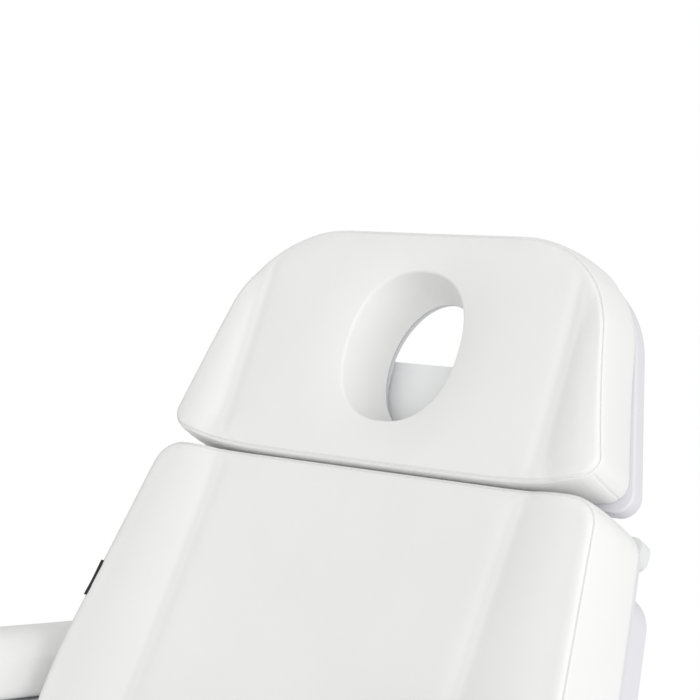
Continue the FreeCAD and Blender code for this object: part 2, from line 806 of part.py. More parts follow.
def armrest_pieces():
    """Pad and tray of the right armrest, in the seat's frame."""
    x0, x1 = armrest_inner, armrest_inner + armrest_width
    tray_top = armrest_top - armrest_pad_height
    tray_low = tray_top - armrest_tray
    end_round = armrest_width * armrest_end_share
    padding = crowned_pad(x0, x1, -armrest_front, armrest_rear, tray_top, armrest_top,
                          end_round, 2 * armrest_tray)
    tray = slab(span(x0 + side_gap, x1 - side_gap, -armrest_front + side_gap, armrest_rear - side_gap,
                     end_round - side_gap), tray_low, tray_top)
    lug_x = armrest_plate_x + bracket_plate + side_gap / 2
    lug_end = lug_x + bracket_plate
    y, z = armrest_pivot()
    lug = strap((y, z), (y, tray_low), armrest_hub, lug_x, lug_end)
    above = box(lug_x - past, lug_end + past, y - 2 * armrest_hub, y + 2 * armrest_hub,
                tray_top, tray_top + 2 * armrest_hub)
    bore = cross_bar(lug_x - past, lug_end + past, y, z, armrest_pin_radius + running_fit)
    return padding, joined(tray, lug.cut(above)).cut(bore)


def legrest_arm():
    """Right swing arm in the seat's frame: upright post, hub and the tilt axle with its end collar."""
    axle_z = hinge_depth - legrest_axle_depth
    post_low = rail_back - socket_drop - weld_overlap
    hub_half = axle_radius + weld_overlap
    collar_x = legrest_inner + collar_inset
    axle_x = collar_x + collar_width

    def upright(z0, z1, radius):
        return bar((swing_offset, -legrest_ahead, z0), (swing_offset, -legrest_ahead, z1), radius)

    axle = cross_bar(axle_x, swing_offset, -legrest_ahead, axle_z, axle_radius)
    collar = cross_bar(collar_x, axle_x, -legrest_ahead, axle_z, axle_radius + sleeve_wall)
    hub = upright(axle_z - hub_half, axle_z + hub_half, axle_radius + hub_wall)
    return joined(upright(post_low, axle_z, axle_radius), hub, axle, collar)


def legrest_pieces():
    """Cushion, board, under shell and frame of the right leg rest, origin on its tilt axle."""
    top = legrest_axle_depth
    pad_back = top - legrest_pad_height
    plate_back = pad_back - board_thickness
    rail_low = plate_back - legrest_rail_height
    x0, x1 = legrest_inner, legrest_outer
    y0, y1 = -legrest_start - legrest_length, -legrest_start
    cushion = crowned_pad(x0, x1, y0, y1, pad_back, top, legrest_corner, legrest_corner * 0.7)
    board = slab(span(x0 + board_inset, x1 - board_inset, y0 + board_inset, y1 - board_inset,
                      legrest_corner - board_inset), plate_back, pad_back)
    shell_start = -6 * axle_radius - board_inset
    shell_low = rail_low - legrest_shell_gap

    def tray(wall):
        def outline(inset):
            return span(x0 + inset, x1 - inset, y0 + inset, shell_start - inset, legrest_corner - inset)

        rim = legrest_shell_inset + wall
        return loft((outline(rim + legrest_shell_draw), shell_low + wall), (outline(rim), plate_back))

    shell = tray(0).cut(tray(legrest_shell_wall))
    axle_x = legrest_inner + collar_inset + collar_width
    sleeve_starts = (axle_x + side_gap / 2, swing_offset - sleeve_length - 2 * (axle_radius + weld_overlap))
    rail_side = (sleeve_length - legrest_rail_width) / 2
    rail_end = y0 + legrest_rail_end
    frame = []
    for start in sleeve_starts:
        x = start + rail_side
        frame.append(cross_bar(start, start + sleeve_length, 0, 0, axle_radius + sleeve_wall))
        frame.append(box(x, x + legrest_rail_width, rail_end, 0, rail_low, plate_back))
        rail_room = box(x - pin_play, x + legrest_rail_width + pin_play, shell_start - legrest_rail_end, 0,
                        rail_low - pin_play, plate_back + past)
        shell = shell.cut(rail_room)
    tie_start, tie_end = (start + rail_side for start in sleeve_starts)
    frame.append(box(tie_start, tie_end + legrest_rail_width, rail_end, rail_end + legrest_tie,
                     rail_low, plate_back))
    bore = cross_bar(0, legrest_outer, 0, 0, axle_radius + running_fit)
    return {"cushion": cushion, "board": board, "shell": shell, "frame": joined(*frame).cut(bore)}


def column_outline(margin=0.0):
    """Outline of the lower column tube, grown by an even margin."""
    return rectangle(column_x / 2 + margin, column_y / 2 + margin, column_round + margin)


def column_tube(stage):
    """Column tube of one stage, counted from the outside: each is narrower and starts higher."""
    less = stage * (column_wall + column_clearance)
    low = floor_top + stage * column_step
    outer = rectangle(column_x / 2 - less, column_y / 2 - less, column_round - less / 2)
    inner = rectangle(column_x / 2 - less - column_wall, column_y / 2 - less - column_wall,
                      column_round - less / 2 - column_wall)
    return slab(outer, low, low + column_length).cut(slab(inner, low, low + column_length))


def column_glides(stage):
    """Four nylon pads on the lower outside of a column tube."""
    less = stage * (column_wall + column_clearance)
    low = floor_top + stage * column_step
    half_x, half_y = column_x / 2 - less, column_y / 2 - less
    thick = column_clearance - slide_fit
    high = low + glide_height
    side = box(half_x, half_x + thick, -glide_half, glide_half, low, high)
    front = box(-glide_half, glide_half, -half_y - thick, -half_y, low, high)
    rear = front.mirror(Vector(0, 0, 0), Vector(0, 1, 0))
    return Part.makeCompound([side, mirrored(side), front, rear])


def head_height():
    """Underside of the column head's plate at the lowest lift."""
    return floor_top + 2 * column_step + column_length


def tilt_pivot_height():
    """Tilt shaft's height at the lowest lift."""
    return head_height() + head_plate + tilt_pivot_rise


def column_head():
    """Yoke on the inner tube: plate, two ears for the tilt shaft and a tongue for the tilt actuator."""
    low, high = head_height(), head_height() + head_plate
    ear_x = column_x / 2 - head_ear_inset
    ear_end = ear_x + head_plate
    plate = slab(rectangle(ear_x + head_margin, column_y / 2 - head_side_inset, head_corner), low, high)
    tongue = slab(span(-tongue_half, tongue_half, -tilt_arm - tongue_half, 0, tongue_corner), low, high)
    bore_height = tilt_pivot_height()
    ear = strap((0, high), (0, bore_height), lug_share * tilt_shaft_radius, ear_x, ear_end)
    ear = ear.cut(box(ear_x - past, ear_end + past, -column_y, column_y, low - column_y, low))
    ear = ear.cut(cross_bar(ear_x - past, ear_end + past, 0, bore_height, tilt_shaft_radius + bush_wall))
    socket = bar((0, -tilt_arm, low - past), (0, -tilt_arm, high + past), tilt_body_radius())
    return joined(plate, tongue, *with_mirror(ear)).cut(socket)


def tilt_body_radius():
    """Outer radius of the tilt actuator's body."""
    return rod_radius + tilt_body_wall


def tilt_bushes():
    """Flanged bushes in the column head's ears."""
    x0 = column_x / 2 - head_ear_inset
    x1 = x0 + head_plate
    z = tilt_pivot_height()
    sleeve = cross_bar(x0, x1, 0, z, tilt_shaft_radius + bush_wall)
    flange = cross_bar(x1, x1 + bush_wall, 0, z, tilt_shaft_radius + 2 * bush_wall)
    bore = cross_bar(x0 - past, x1 + bush_wall + past, 0, z, tilt_shaft_radius + running_fit)
    return both(joined(sleeve, flange).cut(bore))


def tilt_actuator():
    """Tilt actuator hanging from the column head's tongue: body, flange and motor box."""
    low, high = head_height(), head_height() + head_plate
    foot = low - tilt_body_length

    def upright(z0, z1, radius):
        return bar((0, -tilt_arm, z0), (0, -tilt_arm, z1), radius)

    body = upright(foot, high + weld_overlap, tilt_body_radius())
    flange = upright(low - tilt_flange_height, low, tilt_body_radius() + tilt_flange)
    motor = slab(span(-tilt_motor_half, tilt_motor_half, -tilt_arm - tilt_motor_front,
                      -tilt_arm + tilt_motor_rear, head_corner), foot, foot + tilt_motor_height)
    bore = upright(low - tilt_bore_depth, high + weld_overlap + past, rod_radius + slide_fit)
    return joined(body, flange, motor).cut(bore)


def tilt_actuator_rod():
    """Push rod of the tilt actuator with its eye and pin."""
    z = tilt_pivot_height()
    eye = cross_bar(-rod_radius, rod_radius, -tilt_arm, z, rod_radius + side_gap)
    rod = bar((0, -tilt_arm, head_height() - tilt_rod_depth), (0, -tilt_arm, z), rod_radius)
    reach = fork_half + lever_plate + side_gap / 2
    return joined(rod, eye, cross_bar(-reach, reach, -tilt_arm, z, rod_pin_radius))


def lift_actuator_stages():
    """Lift actuator inside the column: motor with outer tube, middle stage and push rod."""
    half_x, half_y, motor_height = lift_motor
    outer_radius, middle_radius, inner_radius = lift_radii
    motor_top = floor_top + motor_height
    low = motor_top + lift_stage_rise

    def tube(start, length, radius, bore):
        whole = bar((0, 0, start), (0, 0, start + length), radius)
        return whole.cut(bar((0, 0, start), (0, 0, start + length), bore))

    motor = slab(rectangle(half_x, half_y, gearbox_corner), floor_top, motor_top)
    outer = tube(motor_top, lift_tube_length, outer_radius, middle_radius)
    middle = tube(low, lift_stage_length, middle_radius - slide_fit, inner_radius)
    rod = bar((0, 0, low + column_step), (0, 0, head_height()), inner_radius - slide_fit)
    return joined(motor, outer), middle, rod


def cover_outline(inset):
    """Base cover's outline, drawn in by an even inset."""
    return rectangle(base_width / 2 - inset, base_length / 2 - inset, base_corner - inset)


def cover_dome(wall):
    """Base cover's bulk with its collar round the column, drawn in by a wall's thickness."""
    hood = loft((cover_outline(wall), base_gap), (cover_outline(wall), base_side),
                (cover_outline(base_side + wall), base_rise - wall))
    collar = slab(rectangle(column_x / 2 + collar_wall - wall, column_y / 2 + collar_wall - wall,
                            collar_corner - wall), base_side, base_rise + collar_rise - wall)
    return joined(hood, collar)


def base_group():
    """Pieces that stand on the floor, their origin under the column."""
    cover = cover_dome(0).cut(cover_dome(base_wall))
    column_room = slab(column_outline(column_gap), base_gap, base_rise + collar_rise + past)
    inlet, inlet_recess, jack, jack_hole = sockets()
    screws = cover_screws()
    for room in [column_room, inlet, jack] + screws:
        cover = cover.cut(room)
    plate = slab(cover_outline(base_wall), foot_height, floor_top)
    rail_x = foot_x - base_rail_width / 2
    rail_half_length = base_length / 2 - base_rail_inset
    rail = box(rail_x, rail_x + base_rail_width, -rail_half_length, rail_half_length,
               floor_top, floor_top + base_rail_width)
    sleeve_top = base_side + head_corner
    sleeve = slab(column_outline(sleeve_plate), floor_top, sleeve_top)
    sleeve = sleeve.cut(slab(column_outline(), floor_top, sleeve_top))
    frame = joined(plate, sleeve, *with_mirror(rail))
    pads, studs = feet()
    for stud in studs:
        frame = frame.cut(stud)
    width, length, height = control_box_size
    box_end = base_length / 2 - control_box_inset
    control = slab(span(-width / 2, width / 2, box_end - length, box_end, gearbox_corner),
                   floor_top, floor_top + height)
    return {"base_frame": frame, "base_cover": cover, "foot_pads": Part.makeCompound(pads),
            "foot_studs": Part.makeCompound(studs), "control_box": control,
            "mains_inlet": inlet.cut(inlet_recess), "handset_socket": jack.cut(jack_hole),
            "cover_screws": Part.makeCompound(screws)}


def sockets():
    """Mains inlet with its recess and handset jack with its hole, in the rear wall of the base cover."""
    rear = base_length / 2
    front, flush = rear - socket_depth, rear + side_gap
    middle = floor_top + inlet_height / 2
    half_x, half_z = inlet_recess_half
    inlet = slab(span(inlet_x - inlet_width / 2, inlet_x + inlet_width / 2, front, flush, bush_wall),
                 floor_top, floor_top + inlet_height)
    recess = box(inlet_x - half_x, inlet_x + half_x, rear - socket_depth / 2, flush + past,
                 middle - half_z, middle + half_z)
    jack = bar((jack_x, front, middle), (jack_x, flush, middle), jack_radius)
    hole = bar((jack_x, rear - socket_depth / 2, middle), (jack_x, flush + past, middle), jack_hole_radius)
    return inlet, recess, jack, hole


def cover_screws():
    """Four screws through the base cover's sides above the base plate's edge."""
    screws = []
    for side in (-1, 1):
        for y in (screw_end_inset - base_length / 2, base_length / 2 - screw_end_inset):
            screws.append(bar((side * (base_width / 2 - base_wall), y, screw_height),
                              (side * (base_width / 2 + side_gap), y, screw_height), screw_radius))
    return screws


def feet():
    """Four rubber pads and the studs that carry the base plate on them."""
    pads = []
    studs = []
    for x, y in [corner[:2] for corner in rectangle(foot_x, foot_y, 0)]:
        stud = joined(bar((x, y, foot_pad_height - foot_recess), (x, y, floor_top), stud_radius),
                      bar((x, y, foot_pad_height), (x, y, foot_pad_height + nut_height), nut_radius))
        pads.append(bar((x, y, 0), (x, y, foot_pad_height), foot_pad_radius).cut(stud))
        studs.append(stud)
    return pads, studs


def placed(shape, place):
    """A copy of the shape moved from its group's frame."""
    moved = shape.copy()
    moved.Placement = place.multiply(moved.Placement)
    return moved


def turned(angle, origin):
    """Placement that turns a group about x and puts its origin at a point."""
    return Placement(origin, Rotation(Vector(1, 0, 0), angle))


def chair():
    """All nodes in one frame, and the joint points the record names."""
    nodes = dict(base_group())
    actuator, stage, rod = lift_actuator_stages()
    nodes.update({"column_lower": column_tube(0), "column_middle": column_tube(1),
                  "column_inner": column_tube(2), "glides_lower": column_glides(1),
                  "glides_upper": column_glides(2), "lift_actuator": actuator,
                  "lift_actuator_stage": stage, "lift_actuator_rod": rod, "column_head": column_head(),
                  "tilt_bushes": tilt_bushes(), "tilt_actuator": tilt_actuator(),
                  "tilt_actuator_rod": tilt_actuator_rod()})
    tilt_point = Vector(0, 0, tilt_pivot_height())
    seat_turn = Rotation(Vector(1, 0, 0), seat_angle)
    hinge_point = tilt_point - seat_turn.multVec(Vector(0, -tilt_ahead, -tilt_below))
    seat_place = turned(seat_angle, hinge_point)
    backrest_place = turned(backrest_angle, hinge_point)
    head_point = backrest_place.multVec(Vector(0, backrest_length + headrest_gap, hinge_depth + headrest_step))
    headrest_place = turned(headrest_angle, head_point)
    head_axis = backrest_place.multVec(headrest_axis())
    leg_axis = seat_place.multVec(Vector(0, -legrest_ahead, hinge_depth - legrest_axle_depth))
    legrest_place = turned(seat_angle + legrest_drop, leg_axis)

    for name, shape in seat_group().items():
        nodes[name] = placed(shape, seat_place)
    nodes["back_actuator_rod"] = placed(back_actuator_rod(), seat_place)
    for name, shape in backrest_group().items():
        nodes[name] = placed(shape, backrest_place)
    for name, shape in headrest_group().items():
        nodes[name] = placed(shape, headrest_place)
    bracket = headrest_bracket(headrest_place.inverse().multVec(head_axis))
    nodes["headrest_bracket"] = placed(bracket, headrest_place)
    pin_half = lug_inner + 2 * barrel_radius
    nodes["headrest_pin"] = cross_bar(-pin_half, pin_half, head_axis.y, head_axis.z, headrest_pin_radius)

    padding, tray = armrest_pieces()
    legrest = legrest_pieces()
    for side, flip in (("right", lambda shape: shape), ("left", mirrored)):
        nodes["armrest_pad_" + side] = placed(flip(padding), seat_place)
        nodes["armrest_tray_" + side] = placed(flip(tray), seat_place)
        nodes["legrest_arm_" + side] = placed(flip(legrest_arm()), seat_place)
        for name, shape in legrest.items():
            nodes["legrest_" + name + "_" + side] = placed(flip(shape), legrest_place)

    points = {"tilt": tilt_point, "hinge": hinge_point, "head_axis": head_axis, "leg_axis": leg_axis,
              "armrest": seat_place.multVec(Vector(0, *armrest_pivot())),
              "swing": seat_place.multVec(Vector(swing_offset, -legrest_ahead, 0)),
              "back_edge": backrest_place.multVec(Vector(0, backrest_length, hinge_depth)),
              "head_point": head_point}
    return nodes, points


def centred(nodes, points):
    """Nodes and points moved so that the origin is under the middle of the whole chair."""
    whole = Part.makeCompound(list(nodes.values())).BoundBox
    shift = Vector(-whole.Center.x, -whole.Center.y, -whole.ZMin)
    step = Placement(shift, Rotation())
    return ({name: placed(shape, step) for name, shape in nodes.items()},
            {name: point + shift for name, point in points.items()})


os.makedirs("parts", exist_ok=True)
chair_nodes, chair_points = centred(*chair())
for node, shape in chair_nodes.items():
    shape.exportStep("parts/" + node + ".step")
print(json.dumps({name: [round(value, 4) for value in point] for name, point in chair_points.items()}))
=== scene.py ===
import json
import math
from dataclasses import dataclass

import bpy
import numpy as np
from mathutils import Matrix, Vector


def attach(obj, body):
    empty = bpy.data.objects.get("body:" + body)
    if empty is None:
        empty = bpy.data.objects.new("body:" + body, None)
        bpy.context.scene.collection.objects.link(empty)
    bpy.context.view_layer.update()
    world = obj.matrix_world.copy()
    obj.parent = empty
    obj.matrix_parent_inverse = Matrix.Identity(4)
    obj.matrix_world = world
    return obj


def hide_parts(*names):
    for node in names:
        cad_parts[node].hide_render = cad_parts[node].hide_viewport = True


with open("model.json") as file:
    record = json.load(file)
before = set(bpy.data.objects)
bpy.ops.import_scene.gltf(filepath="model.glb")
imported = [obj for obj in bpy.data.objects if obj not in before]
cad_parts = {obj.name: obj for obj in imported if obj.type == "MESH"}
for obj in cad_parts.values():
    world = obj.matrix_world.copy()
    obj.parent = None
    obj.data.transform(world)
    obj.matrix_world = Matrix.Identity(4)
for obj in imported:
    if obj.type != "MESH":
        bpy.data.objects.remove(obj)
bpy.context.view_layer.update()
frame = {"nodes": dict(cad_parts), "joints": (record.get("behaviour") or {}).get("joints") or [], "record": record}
scene = bpy.context.scene

# Lengths are millimetres in each group's own frame (x across, y towards the head, z out of the
# upholstery), as in the part's source. Place.world turns them into metres in the chair's frame.
MM = 0.001

# Rest angles of the groups above the horizontal, in degrees, and the headrest's origin in the
# backrest's frame
SEAT_ANGLE = -9.0
BACK_ANGLE = 57.5
HEAD_ANGLE = 63.0
LEG_ANGLE = 36.0
HEAD_ORIGIN = (0.0, 563.0, 55.0)

# Right halves of the outlines: x, y and radius of each corner, from the lower edge to the upper one
HEADREST_OUTLINE = [(277.0, 0.0, 15.0), (219.0, 261.0, 128.0)]
BOARD_OUTLINE = [(287.0, -3.0, 20.0), (223.0, 261.0, 124.0)]
BACKREST_OUTLINE = [(284.0, 6.0, 30.0), (318.0, 265.0, 500.0), (280.0, 555.0, 30.0)]
SEAT_OUTLINE = [(290.0, -538.0, 28.0), (290.0, -41.0, 28.0)]
ARMREST_OUTLINE = [(36.0, -262.0, 35.9), (36.0, 202.0, 35.9)]
LEGREST_OUTLINE = [(137.5, -464.0, 36.0), (137.5, -10.0, 36.0)]

# Heights of front and rear: seat and backrest, headrest, armrests and leg rests. The last two also have
# the distance of their middles from the chair's middle
CUSHION_FRONT = 50.0
CUSHION_BACK = -25.0
HEADREST_FRONT = 0.0
HEADREST_BACK = -66.0
ARMREST_FRONT = 304.0
ARMREST_BACK = 231.0
ARMREST_MIDDLE = 384.0
LEGREST_FRONT = 94.0
LEGREST_BACK = 35.0
LEGREST_MIDDLE = 150.5

# Sewn channels: distance from the middle, in headrest and seat and in the backrest, least distance from
# the edge, fade of groove and stitch line towards the edge, and the stitch line's depth and width
CHANNEL = 202.0
BACKREST_CHANNEL = 192.0
CHANNEL_INSET = 10.0
CHANNEL_FADE = 16.0
STITCH_DEPTH = 0.35
STITCH_WIDTH = 1.5

# Panel and bolsters: fade of the panel's crown at the edge, and the run over which a bolster rises, at
# least or as a share of its width. Rise that is left at a cushion's corners: its start and run across,
# its reach from the edge and its share of a bolster's
CROWN_FADE = 90.0
WING_RUN = 42.0
WING_SHARE = 0.6
CORNER_START = 165.0
CORNER_RUN = 75.0
CORNER_REACH = 25.0
CORNER_SHARE = 0.45

# Puckers beside the edge seam: height, radians per millimetre across and along, the same of the slow
# waves that bend them, how far the puckers across are bent, reach from the seam and run to full height
PUCKER_HEIGHT = 0.35
PUCKER_TURN = (0.31, 0.27)
PUCKER_DRIFT = (0.09, 0.11)
PUCKER_SWAY = 1.3
PUCKER_REACH = 13.0
PUCKER_START = 3.0

# Edge seam: depth, width and the share of its depth that its fold stands up. Wall below it: shoulder as
# a share of the seam's depth and the shoulder's run, fullness of the belly, depth and width of the rear
# hem, depth of the corner tucks, their width by the wall's bearing and the share of the wall over which
# they set in, and how far a cover wraps its board's edge
SEAM_DEPTH = 3.0
SEAM_WIDTH = 1.3
SEAM_STAND = 0.7
SHOULDER_SHARE = 0.75
SHOULDER_RUN = 2.0
BELLY_POWER = 0.7
HEM_DEPTH = 3.0
HEM_WIDTH = 2.2
TUCK_DEPTH = 1.2
TUCK_WIDTH = 0.035
TUCK_START = 0.125
BOARD_WRAP = 7.8

# Bow of a lower edge: height of the row whose half width it is measured by, how late it sets in across,
# and the share of it that the wall loses down to the hem
BOW_ROW = 40.0
BOW_POWER = 6
BOW_LOST = 0.4

# Frames over which the cloth is blown out
CLOTH_FRAMES = 20

# Face hole: its middle, half width and half height inside the lip, the lip's size and depth, the power
# of the squarish oval, the dish round it and the dish's reach. Rear of the hole: height, middle and half
# sizes. Block of the front's sheet that opens into it: its share of the mouth, and how far outside the
# block, in its own half sizes, the sheet is straight again
HOLE_MIDDLE = 133.0
HOLE_HALF = (72.5, 85.5)
HOLE_LIP = 2.5
HOLE_LIP_DEPTH = 1.5 * HOLE_LIP
HOLE_MOUTH = np.array(HOLE_HALF) + HOLE_LIP
HOLE_POWER = 2.3
HOLE_DISH = 6.0
HOLE_DISH_REACH = 50.0
HOLE_REAR = -77.0
HOLE_REAR_MIDDLE = 130.5
HOLE_REAR_HALF = (57.6, 77.2)
HOLE_BLOCK = 0.9
HOLE_FADE = (0.9, 0.27)

# Headrest's back board: depth, rounding of its edges, and its hole's middle, half width and half height
BOARD_DEPTH = 21.0
BOARD_EDGE = 3.0
BOARD_HOLE_MIDDLE = 129.0
BOARD_HOLE_HALF = (60.4, 81.2)

# Side tag: its upper end, length along the seam, reach out of the seam and root inside it, radius of the
# fold, thickness, height, and the wave's height and run
TAG_TOP = 405.0
TAG_LENGTH = 42.0
TAG_REACH = 1.8
TAG_ROOT = 5.0
TAG_FOLD = 0.45
TAG_THICK = 0.4
TAG_HEIGHT = 54.0
TAG_WAVE = 0.4
TAG_WAVE_RUN = 9.0

# Camera, fitted to the photograph: bearing and fall of its view in degrees, its step from the middle of
# the backrest's upper edge in metres, its lens and sensor
CAMERA_BEARING = 37.5
CAMERA_FALL = 6.5
CAMERA_STEP = (1.0978, -1.4525, 0.3323)
CAMERA_LENS = 91.03
CAMERA_SENSOR = 36.0

# Stage, in metres: the floor's rings, its sides and where it begins to fade, the surround's strength as
# a light, and the soft lamps' aim, places, sizes and watts
FLOOR_RINGS = (0.4, 1.0, 2.0, 3.5)
FLOOR_SIDES = 96
FLOOR_FADE = 0.9
SURROUND_LIGHT = 0.70
LAMP_AIM = (0.0, 0.3, 0.7)
LAMPS = {
    "key": ((9.6, -1.8, 2.64), 5.2, 245.0),
    "front": ((6.0, -7.7, 2.9), 4.8, 300.0),
}


class Place:
    """A group's frame: turned about x by an angle, its origin at a point in metres."""

    def __init__(self, origin, angle):
        turn = math.radians(angle)
        self.origin = np.asarray(origin, float)
        self.axes = np.array([[1.0, 0.0, 0.0], [0.0, math.cos(turn), math.sin(turn)],
                              [0.0, -math.sin(turn), math.cos(turn)]])

    def world(self, points):
        """Points in millimetres of this frame as metres in the chair's frame."""
        return self.origin + MM * np.asarray(points) @ self.axes


pivots = {joint["name"]: joint["pos_m"] for joint in frame["joints"] if "pos_m" in joint}
seat_place = Place(pivots["back_recline"], SEAT_ANGLE)
back_place = Place(pivots["back_recline"], BACK_ANGLE)
head_place = Place(back_place.world(HEAD_ORIGIN), HEAD_ANGLE)
leg_place = Place((0.0, *pivots["legrest_tilt_right"][1:]), LEG_ANGLE)


# Shader maths


class Flow:
    """A socket of a node tree. Arithmetic on it adds Math nodes."""

    def __init__(self, nodes, socket):
        self.nodes = nodes
        self.socket = socket

    def math(self, operation, *values):
        return self.nodes.node("ShaderNodeMath", {"operation": operation}, *values)

    def __add__(self, other):
        return self.math("ADD", self, other)

    def __sub__(self, other):
        return self.math("SUBTRACT", self, other)

    def __rsub__(self, other):
        return self.math("SUBTRACT", other, self)

    def __mul__(self, other):
        return self.math("MULTIPLY", self, other)

    def __truediv__(self, other):
        return self.math("DIVIDE", self, other)

    def __rtruediv__(self, other):
        return self.math("DIVIDE", other, self)

    def __pow__(self, other):
        return self.math("POWER", self, other)

    def __rpow__(self, other):
        return self.math("POWER", other, self)

    __radd__ = __add__
    __rmul__ = __mul__

    def clamp(self):
        return self.nodes.node("ShaderNodeClamp", {}, self)

    def part(self, index):
        """One of x, y and z of a vector."""
        return self.nodes.node("ShaderNodeSeparateXYZ", {}, self, output=index)


class Nodes:
    """A node tree and the one way to add a node to it."""

    def __init__(self, tree):
        self.tree = tree

    def put(self, socket, value):
        """Links a flow to a socket, or sets the socket's own value."""
        if isinstance(value, Flow):
            self.tree.links.new(value.socket, socket)
        elif isinstance(value, tuple) and socket.type == "RGBA":
            socket.default_value = (*value, 1.0)
        else:
            socket.default_value = value

    def node(self, kind, settings, *values, output=0, **named):
        """Adds a node: its type, its settings, then its sockets' values or links in order or by name.
        Gives one of its outputs."""
        node = self.tree.nodes.new(kind)
        for key, value in settings.items():
            setattr(node, key, value)
        for socket, value in zip([socket for socket in node.inputs if socket.enabled], values):
            self.put(socket, value)
        for key, value in named.items():
            self.put(node.inputs[key.replace("_", " ")], value)
        return Flow(self, node.outputs[output])


class Finish(Nodes):
    """One material: its node tree and its shader."""

    def __init__(self, name, colour, roughness, metallic=0.0, specular=0.5):
        self.material = bpy.data.materials.new(name)
        self.material.use_nodes = True
        super().__init__(self.material.node_tree)
        self.shader = self.tree.nodes["Principled BSDF"]
        self.shader.inputs["Base Color"].default_value = (*colour, 1.0)
        self.shader.inputs["Roughness"].default_value = roughness
        self.shader.inputs["Metallic"].default_value = metallic
        self.shader.inputs["Specular IOR Level"].default_value = specular

    def place(self, angle=0.0, stretch=(1.0, 1.0, 1.0)):
        """Object coordinates, turned about x by an angle in degrees, then stretched."""
        where = self.node("ShaderNodeTexCoord", {}, output="Object")
        return self.node("ShaderNodeMapping", {"vector_type": "TEXTURE"}, where, (0.0, 0.0, 0.0),
                         (math.radians(angle), 0.0, 0.0), stretch)

    def noise(self, where, scale, detail=2.0, roughness=0.5):
        return self.node("ShaderNodeTexNoise", {}, Vector=where, Scale=scale, Detail=detail,
                         Roughness=roughness)

    def cells(self, where, scale):
        return self.node("ShaderNodeTexVoronoi", {}, Vector=where, Scale=scale)

    def mixed(self, first, second, factor):
        """Colour between two colours."""
        return self.node("ShaderNodeMix", {"data_type": "RGBA"}, factor, first, second, output=2)

    def bump(self, height, strength, depth):
        bump = self.node("ShaderNodeBump", {}, Strength=strength, Distance=depth, Height=height)
        self.put(self.shader.inputs["Normal"], bump)

    def surface(self, **sockets):
        """Feeds the shader's sockets that change over the surface."""
        for key, value in sockets.items():
            self.put(self.shader.inputs[key.replace("_", " ")], value)


# Finishes


def leatherette():
    """White leatherette: pebbled grain of small cells, faint mottling, a satin sheen that varies."""
    finish = Finish("leatherette_white", (0.84, 0.84, 0.836), 0.46, specular=0.4)
    where = finish.place()
    pebbles = finish.cells(where, 820.0)
    pores = finish.noise(where, 2600.0)
    mottle = finish.noise(where, 9.0, 4.0)
    finish.surface(Base_Color=finish.mixed((0.815, 0.815, 0.808), (0.86, 0.86, 0.857), mottle),
                   Roughness=0.48 + mottle * 0.12 + pebbles * 0.06)
    finish.bump(pebbles * 0.8 + pores * 0.35, 0.22, 0.0002)
    return finish.material


def moulded_plastic():
    """Satin white moulding with a cool tint: fine spark texture and a faint flow mottling."""
    finish = Finish("moulded_plastic_white", (0.71, 0.71, 0.745), 0.36)
    where = finish.place()
    mottle = finish.noise(where, 14.0, 3.0)
    spark = finish.noise(where, 1500.0, 3.0)
    finish.surface(Base_Color=finish.mixed((0.69, 0.69, 0.725), (0.73, 0.73, 0.76), mottle),
                   Roughness=0.30 + mottle * 0.1 + spark * 0.08)
    finish.bump(spark, 0.10, 0.0002)
    return finish.material


def paint_white(shade):
    """White with a faint cool tint, at a shade of full white."""
    return (shade, shade * 1.015, shade * 1.01)


def powder_coat(name, shade):
    """White powder coat on steel, at a shade of full white: orange peel and a slightly uneven gloss."""
    finish = Finish(name, paint_white(shade), 0.42)
    where = finish.place()
    peel = finish.noise(where, 420.0, 1.0)
    mottle = finish.noise(where, 22.0, 3.0)
    finish.surface(Base_Color=finish.mixed(paint_white(shade - 0.015), paint_white(shade + 0.015), mottle),
                   Roughness=0.36 + mottle * 0.12)
    finish.bump(peel, 0.22, 0.0004)
    return finish.material


def anodised_aluminium():
    """Satin anodised tube: fine drawn lines along the column."""
    finish = Finish("anodised_aluminium", (0.70, 0.71, 0.72), 0.34, metallic=1.0)
    lines = finish.noise(finish.place(stretch=(1.0, 1.0, 60.0)), 1100.0, 3.0)
    cloud = finish.noise(finish.place(), 12.0, 3.0)
    finish.surface(Base_Color=finish.mixed((0.64, 0.65, 0.66), (0.76, 0.77, 0.78), lines),
                   Roughness=0.26 + lines * 0.14 + cloud * 0.06)
    finish.bump(lines, 0.10, 0.0001)
    return finish.material


def ground_steel():
    """Ground steel pins and rods: turning marks across x and a bright, uneven gloss."""
    finish = Finish("ground_steel", (0.62, 0.62, 0.63), 0.24, metallic=1.0)
    marks = finish.noise(finish.place(stretch=(1.0, 30.0, 30.0)), 1600.0, 2.0)
    cloud = finish.noise(finish.place(), 40.0, 3.0)
    finish.surface(Base_Color=finish.mixed((0.54, 0.54, 0.55), (0.70, 0.70, 0.71), cloud),
                   Roughness=0.18 + marks * 0.16)
    finish.bump(marks, 0.08, 0.0001)
    return finish.material


def birch_ply(name, angle, ply_depth=0.0016):
    """Birch ply lying at an angle: grain along the board, darker plies where its edge shows."""
    finish = Finish(name, (0.60, 0.44, 0.27), 0.55)
    flat = finish.place(angle)
    ply = flat.math("PINGPONG", flat.part(2), ply_depth) / ply_depth
    grain = finish.noise(finish.place(angle, (1.0, 14.0, 1.0)), 160.0, 5.0, 0.6)
    cloud = finish.noise(flat, 7.0, 3.0)
    wood = finish.mixed((0.55, 0.39, 0.23), (0.72, 0.56, 0.37), grain)
    finish.surface(Base_Color=finish.mixed(wood, (0.36, 0.22, 0.12), (ply * 1.6 - 0.9).clamp() * 0.7),
                   Roughness=0.5 + cloud * 0.15)
    finish.bump(grain, 0.25, 0.0004)
    return finish.material


